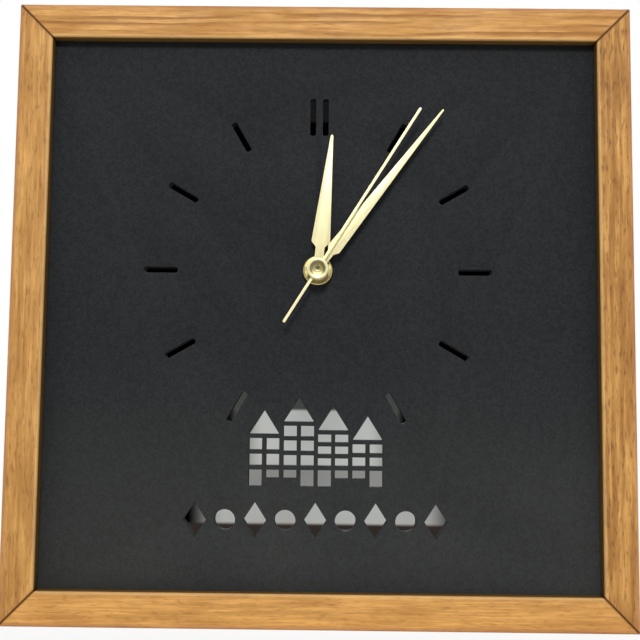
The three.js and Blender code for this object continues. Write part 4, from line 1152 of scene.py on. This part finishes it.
class CLOCK_OT_add_hands(bpy.types.Operator):
    """Adds the hour, minute and second hands, stamped from cream gold sheet"""
    bl_idname = "clock.add_hands"
    bl_label = "Hands"

    def execute(self, context):
        settings = context.scene.clock_hands
        for hand, tube in (("hour", HOUR_TUBE_RADIUS), ("minute", MINUTE_TUBE_RADIUS)):
            node = hand + "_hand"
            low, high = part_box(node)
            sizes = [getattr(settings, hand + "_" + key) for key in HAND_KEYS]
            angle = getattr(settings, hand + "_angle")
            piece = plate(hand_outline(dagger(*sizes, settings.slope), angle), low.y, high.y)
            combine(piece, [drill(tube + FIT_PLAY, low, high, HUB)])
            break_edges(piece, BROKEN_SHEET)
            gold = hand_gold_material("cream_gold_" + hand, settings, angle)
            hand_over(piece, hand + "_dagger", hand + "_group", "hand_gold", gold, node)
        self.add_second_hand(settings)
        return {"FINISHED"}

    def add_second_hand(self, settings):
        low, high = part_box("second_hand")
        half = settings.needle_width / 2
        outline = arc(0, settings.second_length - half, half, 0, math.pi)
        outline += arc(0, half - settings.second_tail, half, math.pi, 2 * math.pi)
        needle = plate(hand_outline(outline, settings.second_angle), low.y, high.y)
        combine(needle, [rod(settings.needle_eye, low.y, high.y, HUB)], "UNION")
        combine(needle, [drill(ARBOR_RADIUS + FIT_PLAY, low, high, HUB)])
        break_edges(needle, BROKEN_SHEET)
        gold = hand_gold_material("cream_gold_second", settings, settings.second_angle)
        hand_over(needle, "second_needle", "second_group", "hand_gold", gold, "second_hand")


def ring(node, bore):
    """A plain turned ring with broken edges, as large as its CAD node."""
    low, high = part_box(node)
    radius = (high.x - low.x) / 2
    profile = [(bore, low.y), (radius, low.y), (radius, high.y), (bore, high.y)]
    return break_edges(turned(profile, HUB), BROKEN_TURNED)


class CLOCK_OT_add_hub(bpy.types.Operator):
    """Adds the fixing nut, washers, threaded bushing, collets and the cap of the second hand"""
    bl_idname = "clock.add_hub"
    bl_label = "Hub"

    def execute(self, context):
        settings = context.scene.clock_hub
        brass = metal_material("polished_brass", settings.brass, 0.2, (900, 900, 900))
        rubber = plastic_material(
            "black_rubber", context.scene.clock_back.rubber, 0.8, 1200.0, 0.00004, Specular_IOR_Level=0.3)
        satin = metal_material("satin_brass", settings.brass, 0.36, (900, 900, 900))
        self.add_nut(settings, satin)
        self.add_cap(settings, cap_material(settings, context.scene.clock_hands.gold))
        self.add_bushing(settings, brass)
        rings = (
            ("brass_washer", "bright_washer", BUSHING_RADIUS, "clock", "brass", satin),
            ("rubber_washer", "rubber_ring", BUSHING_RADIUS, "clock", "rubber", rubber),
            ("hour_hand_collet", "hour_collet_ring", HOUR_TUBE_RADIUS, "hour_group", "brass", brass),
            ("minute_hand_collet", "minute_collet_ring", MINUTE_TUBE_RADIUS, "minute_group", "brass", brass),
            ("second_hand_tube", "second_tube_ring", ARBOR_RADIUS, "second_group", "brass", brass),
        )
        for node, name, inner, body, slot, material in rings:
            hand_over(ring(node, inner + FIT_PLAY), name, body, slot, material, node)
        dress(["centre_arbor"], brass)
        return {"FINISHED"}

    def add_nut(self, settings, brass):
        low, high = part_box("fixing_nut")
        radius = (high.x - low.x) / 2
        bore = BUSHING_RADIUS + FIT_PLAY
        bend = settings.nut_round
        profile = [(bore, high.y), (radius, high.y)]
        profile += arc(radius - bend, low.y + bend, bend, 0, -math.pi / 2)
        profile += [(bore, low.y)]
        nut = break_edges(turned(profile, HUB), BROKEN_TURNED)
        hand_over(nut, "round_nut", "clock", "brass", brass, "fixing_nut")

    def add_cap(self, settings, finish):
        low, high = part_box("second_hand_cap")
        radius = (high.x - low.x) / 2
        bend = settings.cap_rim / 2
        crest = radius - bend
        slope = settings.cap_slope
        rim_end = crest - bend * math.sin(slope)
        fall = settings.cap_dish - bend * (1 - math.cos(slope))
        hollow = fall / (1 - math.cos(slope))
        flat = rim_end - hollow * math.sin(slope)
        floor = low.y + settings.cap_dish
        profile = [(settings.cap_hole, high.y), (radius, high.y)]
        profile += arc(crest, low.y + bend, bend, 0, -math.pi / 2 - slope, 2 * ARC_STEPS)
        profile += arc(flat, floor - hollow, hollow, math.pi / 2 - slope, math.pi / 2)[1:]
        profile += [(settings.cap_hole, floor)]
        cap = break_edges(turned(profile, HUB), BROKEN_TURNED, angle=CAP_BREAK_ANGLE)
        hand_over(cap, "dished_cap", "second_group", "brass", finish, "second_hand_cap")

    def add_bushing(self, settings, brass):
        low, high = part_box("threaded_bushing")
        flange = (high.x - low.x) / 2
        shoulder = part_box("movement_case")[0].y
        profile = [(BUSHING_BORE, high.y), (flange, high.y), (flange, shoulder)]
        turns = int((shoulder - low.y) / settings.thread_pitch)
        for turn in range(turns):
            y = shoulder - turn * settings.thread_pitch
            root = y - settings.thread_pitch * THREAD_ROOT_SHARE
            crest = y - settings.thread_pitch * THREAD_CREST_SHARE
            profile += [(BUSHING_RADIUS - settings.thread_depth, root), (BUSHING_RADIUS, crest)]
        profile += [(BUSHING_RADIUS - settings.thread_depth / 2, low.y), (BUSHING_BORE, low.y)]
        bushing = turned(profile, HUB)
        hand_over(bushing, "threaded_stem", "clock", "brass", brass, "threaded_bushing")


class CLOCK_OT_add_fastenings(bpy.types.Operator):
    """Adds the sawtooth hanger with its nails, the glazing points and the corner nails"""
    bl_idname = "clock.add_fastenings"
    bl_label = "Hanger, nails and points"

    def execute(self, context):
        settings = context.scene.clock_back
        zinc = metal_material("zinc_plate", settings.steel, 0.34, (300, 3600, 3600), 0.000006)
        hand_over(refined("hanger", BROKEN_HANGER), "sawtooth_strip", "clock", "zinc_steel", zinc, "hanger")
        for side in ("left", "right"):
            node = "hanger_nail_" + side
            low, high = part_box(node)
            radius = (high.x - low.x) / 2
            head = high.y - NAIL_HEAD
            profile = [(0, low.y), (NAIL_SHANK, low.y + 2 * NAIL_SHANK), (NAIL_SHANK, head), (radius, head)]
            crown = radius * NAIL_CROWN_SHARE
            profile += [(radius, high.y - NAIL_HEAD / 2), (crown, high.y), (0, high.y)]
            nail = turned(profile, (low + high) / 2, steps=SMALL_STEPS)
            hand_over(nail, "panel_pin_" + side, "clock", "zinc_steel", zinc, node)
        for node in sorted(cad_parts):
            if node.startswith(("glazing_point", "corner_nail")):
                name = node.replace("glazing_point", "glazing_tab").replace("corner_nail", "v_nail")
                hand_over(refined(node, BROKEN_SHEET, 1), name, "clock", "zinc_steel", zinc, node)
        return {"FINISHED"}


class CLOCK_OT_add_bumpers(bpy.types.Operator):
    """Adds the two rubber bumpers that hold the frame off the wall"""
    bl_idname = "clock.add_bumpers"
    bl_label = "Bumpers"

    def execute(self, context):
        settings = context.scene.clock_back
        rubber = plastic_material(
            "bumper_rubber", settings.rubber, 0.75, 1500.0, 0.00005, Specular_IOR_Level=0.3)
        for side in ("left", "right"):
            low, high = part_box("bumper_" + side)
            radius = (high.x - low.x) / 2
            bumper = rod(radius, low.y, high.y, (low + high) / 2, ROUND_STEPS)
            round_edges(
                bumper, lambda a, b: min(a.y, b.y) > high.y - WELD, settings.bumper_round, ARC_STEPS // 2)
            hand_over(bumper, "wall_bumper_" + side, "clock", "rubber", rubber, "bumper_" + side)
        return {"FINISHED"}


class CLOCK_OT_add_movement_case(bpy.types.Operator):
    """Adds the moulded case of the movement, its cover and the setting knob"""
    bl_idname = "clock.add_movement_case"
    bl_label = "Movement case and cover"

    def execute(self, context):
        settings = context.scene.clock_movement
        black = plastic_material(
            "moulded_black", settings.plastic, 0.45, 1400.0, 0.00003, Specular_IOR_Level=0.4)
        self.add_case(settings, black)
        self.add_cover(settings, black)
        white = plastic_material("white_acetal", settings.gear_plastic, 0.42, 2600.0, 0.000006, 0.03)
        knob = refined("setting_knob", BROKEN_KNOB)
        hand_over(knob, "fluted_knob", "knob", "gear_plastic", white, "setting_knob")
        return {"FINISHED"}

    def add_case(self, settings, black):
        low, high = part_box("movement_case")
        case = block(low, high)
        round_edges(case, runs_deep, settings.corner_round, ARC_STEPS)
        floor = low.y + CASE_FRONT_WALL
        left, right = low.x + CASE_WALL, high.x - CASE_WALL
        bay_low = low.z + CASE_WALL
        bay_high = bay_low + settings.bay_height
        train_low = Vector((left, floor, bay_high + CASE_WALL))
        train_high = Vector((right, high.y + OVERRUN, high.z - CASE_WALL))
        battery_bay = block((left, floor, bay_low), (right, high.y + OVERRUN, bay_high))
        bushing_hole = rod(extent("threaded_bushing", 0) / 2, low.y - OVERRUN, floor + OVERRUN, HUB)
        combine(case, [battery_bay, block(train_low, train_high), bushing_hole])
        break_edges(case, BROKEN_PLASTIC)
        post_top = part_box("gear_plate")[0].y
        for x in (left + POST_INSET, right - POST_INSET):
            for z in (train_low.z + POST_INSET, train_high.z - POST_INSET):
                post = rod(POST_RADIUS, floor - CASE_FRONT_WALL / 2, post_top, Vector((x, 0, z)))
                combine(case, [post], "UNION")
        hand_over(case, "moulded_case", "clock", "case_plastic", black, "movement_case")

    def add_cover(self, settings, black):
        low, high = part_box("movement_cover")
        knob_low, knob_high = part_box("setting_knob")
        knob = (knob_low + knob_high) / 2
        cover = block(low, high)
        combine(cover, [drill(KNOB_SHAFT_RADIUS + COVER_PLAY, low, high, knob)])
        depth = high.y - settings.mould_depth
        combine(cover, self.moulded_signs(settings, knob, depth, high, low))
        break_edges(cover, BROKEN_PLASTIC / 2, 1)
        hand_over(cover, "moulded_cover", "clock", "case_plastic", black, "movement_cover")

    def moulded_signs(self, settings, knob, depth, high, low):
        """Cutters for the arrow round the knob, and for the battery's plus and minus signs."""
        back = high.y + OVERRUN
        inner = settings.arrow_radius
        outer = inner + settings.arrow_width
        band = arc(0, 0, outer, ARROW_START, ARROW_END, ARC_STEPS * 2)
        band += arc(0, 0, inner, ARROW_END, ARROW_START, ARC_STEPS * 2)
        tools = [plate([(knob.x + x, knob.z + z) for x, z in band], depth, back)]
        middle = (inner + outer) / 2
        reach = settings.arrow_width * ARROW_HEAD_SHARE
        tip = ARROW_END - ARROW_HEAD_TURN
        head = [(middle - reach, ARROW_END), (middle + reach, ARROW_END), (middle, tip)]
        points = [(knob.x + r * math.cos(a), knob.z + r * math.sin(a)) for r, a in head]
        tools.append(plate(points, depth, back))
        arm = settings.arrow_width * SIGN_ARM_SHARE
        half = settings.arrow_width / 2
        inset = arm * SIGN_INSET_SHARE
        z = low.z + arm * SIGN_RISE_SHARE
        for x, upright in ((high.x - inset, True), (low.x + inset, False)):
            tools.append(block((x - arm, depth, z - half), (x + arm, back, z + half)))
            if upright:
                tools.append(block((x - half, depth, z - arm), (x + half, back, z + arm)))
        return tools


class CLOCK_OT_add_battery(bpy.types.Operator):
    """Adds the battery and its two spring contacts"""
    bl_idname = "clock.add_battery"
    bl_label = "Battery and contacts"

    def execute(self, context):
        settings = context.scene.clock_movement
        steel = context.scene.clock_back.steel
        low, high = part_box("battery")
        radius = (high.y - low.y) / 2
        bend = settings.cell_round
        shoulder = high.x - settings.nub_length
        nub = settings.nub_radius
        recess = settings.nub_length / 4
        inner, bottom, outer = [radius * share for share in FOOT_GROOVE_SHARES]
        edge, well = [radius * share for share in NUB_RECESS_SHARES]
        profile = [(0, low.x), (inner, low.x), (bottom, low.x + recess), (outer, low.x)]
        profile += arc(radius - bend, low.x + bend, bend, -math.pi / 2, 0, ARC_STEPS // 2)
        profile += arc(radius - bend, shoulder - bend, bend, 0, math.pi / 2, ARC_STEPS // 2)
        profile += [(edge, shoulder), (well, shoulder - recess), (nub, shoulder - recess)]
        profile += [(nub, high.x - recess), (nub - recess, high.x), (0, high.x)]
        cell = turned(profile, (low + high) / 2, axis=(1, 0, 0), out=(0, 0, 1))
        foil = jacket_material(settings, low, high, steel)
        hand_over(cell, "dry_cell", "clock", "battery_jacket", foil, "battery")
        nickel = metal_material("nickel_strip", steel, 0.28, (900, 260, 900))
        for end in ("positive", "negative"):
            node = "battery_contact_" + end
            contact = refined(node, BROKEN_CONTACT)
            hand_over(contact, "spring_contact_" + end, "clock", "zinc_steel", nickel, node)
        return {"FINISHED"}


class CLOCK_OT_dress_works(bpy.types.Operator):
    """Gives the wheels, the step motor and the electronics inside the case their finish"""
    bl_idname = "clock.dress_works"
    bl_label = "Works inside the case"

    def execute(self, context):
        settings = context.scene.clock_movement
        steel = context.scene.clock_back.steel
        acetal = plastic_material("natural_acetal", settings.gear_plastic, 0.4, 2600.0, 0.000006, 0.03)
        wheels = (
            "gear_plate", "coil_bobbin", "rotor_pinion", "intermediate_wheel", "third_wheel", "second_wheel",
            "centre_wheel", "minute_wheel", "hour_wheel")
        dress(wheels, acetal)
        dress(["stator", "coil_core"], metal_material("soft_iron_sheet", steel, 0.42, (1200, 200, 1200)))
        bright = metal_material("bright_steel", steel, 0.2, (900, 900, 900))
        dress(["quartz_crystal", "second_arbor"], bright)
        dress(["rotor_magnet"], metal_material("sintered_magnet", linear(92, 92, 96), 0.5, (900, 900, 900)))
        dress(["coil_winding"], winding_material())
        dress(["circuit_board"], circuit_material())
        dress(["driver_chip"], plastic_material("chip_resin", linear(26, 27, 28), 0.55, 1600.0, 0.00002))
        return {"FINISHED"}


def seen_by_eye(tree):
    """1 for what the camera sees straight or in gloss, and the node that tells the kinds of rays."""
    path = tree.nodes.new("ShaderNodeLightPath")
    return calculate(tree, "MAXIMUM", path.outputs["Is Camera Ray"], path.outputs["Is Glossy Ray"]), path


class CLOCK_OT_add_stage(bpy.types.Operator):
    """Adds the floor, the lamps, the camera and the card that the mirror reflects"""
    bl_idname = "clock.add_stage"
    bl_label = "Stage"

    def execute(self, context):
        settings = context.scene.clock_stage
        context.scene.view_settings.view_transform = "Standard"
        self.add_camera(context, settings)
        self.add_lamp("key_lamp", settings.key_strength, settings, math.pi / 2 - settings.key_height, 0)
        self.add_lamp("rear_lamp", settings.rear_strength, settings, REAR_LAMP_TILT, REAR_LAMP_TURN)
        self.light_world(context, settings)
        self.add_floor(settings)
        self.add_room_card()
        return {"FINISHED"}

    def add_camera(self, context, settings):
        bpy.ops.object.camera_add(location=settings.camera_place, rotation=settings.camera_turn)
        camera = context.object
        camera.name = "photo_camera"
        camera.data.lens = settings.lens
        camera.data.clip_start = 0.01
        context.scene.camera = camera

    def add_lamp(self, name, strength, settings, tilt, turn):
        bpy.ops.object.light_add(type="SUN", rotation=(tilt, 0, turn))
        lamp = bpy.context.object
        lamp.name = name
        lamp.data.energy = strength
        lamp.data.angle = settings.lamp_spread

    def light_world(self, context, settings):
        """Plain light all round, with a white background for what the camera sees straight or in gloss."""
        world = bpy.data.worlds.new("studio_world")
        context.scene.world = world
        world.use_nodes = True
        tree = world.node_tree
        tree.nodes.clear()
        seen, path = seen_by_eye(tree)
        seen = calculate(tree, "MAXIMUM", seen, path.outputs["Is Transmission Ray"])
        strength = multiply(tree, seen, 1 - settings.sky_strength)
        strength = calculate(tree, "ADD", strength, settings.sky_strength)
        background = add_node(tree, "ShaderNodeBackground", {"Color": (1, 1, 1, 1), "Strength": strength})
        output = tree.nodes.new("ShaderNodeOutputWorld")
        tree.links.new(background.outputs[0], output.inputs[0])

    def add_floor(self, settings):
        """A pale floor under the clock. The camera sees it near white, with its shadows."""
        bpy.ops.mesh.primitive_plane_add(size=FLOOR_SIZE, location=(0, 0, cad_box[0].z))
        floor = settle_place(bpy.context.object)
        floor.name = "studio_floor"
        material, tree, shader, place = new_material("studio_floor", Roughness=0.8, Specular_IOR_Level=0.1)
        shade = noise(tree, place, 3.0, 2)
        tint = blend(tree, shade, settings.floor, shaded(settings.floor, 0.98))
        connect(tree, shader, Base_Color=tint)
        share = multiply(tree, seen_by_eye(tree)[0], FLOOR_WHITE_SHARE)
        white = add_node(tree, "ShaderNodeEmission", {"Color": (1, 1, 1, 1), "Strength": 1.0})
        mixed = add_node(tree, "ShaderNodeMixShader", {0: share, 1: shader.outputs[0], 2: white.outputs[0]})
        output = tree.nodes["Material Output"]
        tree.links.new(mixed.outputs[0], output.inputs["Surface"])
        floor.data.materials.append(material)
        floor.visible_glossy = False

    def add_room_card(self):
        """A card in front that only gloss sees: dark, with grey bands, and warmer at its foot."""
        bpy.ops.mesh.primitive_plane_add(
            size=2 * CARD_REACH, location=(0, -CARD_DISTANCE, 0), rotation=(math.pi / 2, 0, 0))
        card = settle_place(bpy.context.object)
        card.name = "room_card"
        material = bpy.data.materials.new("room_card")
        material.use_nodes = True
        tree = material.node_tree
        tree.nodes.clear()
        place = tree.nodes.new("ShaderNodeTexCoord").outputs["Object"]
        parts = add_node(tree, "ShaderNodeSeparateXYZ", {0: place})
        side, rise = parts.outputs[0], parts.outputs[2]
        level = None
        for low, high, left, right, value in CARD_BANDS:
            band = between(tree, rise, low, high, CARD_EDGE_SOFTNESS)
            span = between(tree, side, left, right, CARD_SIDE_SOFTNESS)
            part = multiply(tree, multiply(tree, band, span), value)
            level = part if level is None else calculate(tree, "ADD", level, part)
        uneven = rescale(tree, noise(tree, place, 7.0, 3), 0.3, 0.7, 0.86, 1.06)
        level = multiply(tree, level, uneven)
        foot = step_over(tree, rise, CARD_FOOT, -1, CARD_EDGE_SOFTNESS)
        colour = blend(tree, foot, linear(255, 254, 248), linear(255, 224, 208))
        strength = calculate(tree, "ADD", level, multiply(tree, foot, CARD_FOOT_LEVEL))
        glow = add_node(tree, "ShaderNodeEmission", {"Color": colour, "Strength": strength})
        output = tree.nodes.new("ShaderNodeOutputMaterial")
        tree.links.new(glow.outputs[0], output.inputs[0])
        card.data.materials.append(material)
        for ray in ("camera", "diffuse", "shadow", "transmission"):
            setattr(card, "visible_" + ray, False)


class CLOCK_PT_parts(bpy.types.Panel):
    """Lists the pieces of the clock and their settings"""
    bl_idname = "CLOCK_PT_parts"
    bl_label = "Wall clock"
    bl_space_type = "VIEW_3D"
    bl_region_type = "UI"
    bl_category = "Clock"

    def draw(self, context):
        layout = self.layout
        for operator in OPERATORS:
            layout.operator(operator.bl_idname)
        for label, settings in SETTINGS.items():
            box = layout.box()
            box.label(text=label.replace("_", " "))
            for key in settings.__annotations__:
                box.prop(getattr(context.scene, label), key)


OPERATORS = (
    CLOCK_OT_add_rails,
    CLOCK_OT_add_panel,
    CLOCK_OT_dress_sheets,
    CLOCK_OT_add_hands,
    CLOCK_OT_add_hub,
    CLOCK_OT_add_fastenings,
    CLOCK_OT_add_bumpers,
    CLOCK_OT_add_movement_case,
    CLOCK_OT_add_battery,
    CLOCK_OT_dress_works,
    CLOCK_OT_add_stage,
)


def register():
    for part in (*SETTINGS.values(), *OPERATORS, CLOCK_PT_parts):
        bpy.utils.register_class(part)
    for label, settings in SETTINGS.items():
        setattr(bpy.types.Scene, label, PointerProperty(type=settings))


def unregister():
    for label in SETTINGS:
        delattr(bpy.types.Scene, label)
    for part in (CLOCK_PT_parts, *reversed(OPERATORS), *reversed(SETTINGS.values())):
        bpy.utils.unregister_class(part)


def main():
    register()
    bpy.ops.object.select_all(action="DESELECT")
    wood_grain_group()
    frame_edges_group()
    speckle_group()
    handling_group()
    bpy.ops.clock.add_rails()
    bpy.ops.clock.add_panel()
    bpy.ops.clock.dress_sheets()
    bpy.ops.clock.add_hands()
    bpy.ops.clock.add_hub()
    bpy.ops.clock.add_fastenings()
    bpy.ops.clock.add_bumpers()
    bpy.ops.clock.add_movement_case()
    bpy.ops.clock.add_battery()
    bpy.ops.clock.dress_works()
    bpy.ops.clock.add_stage()


if __name__ == "__main__":
    main()
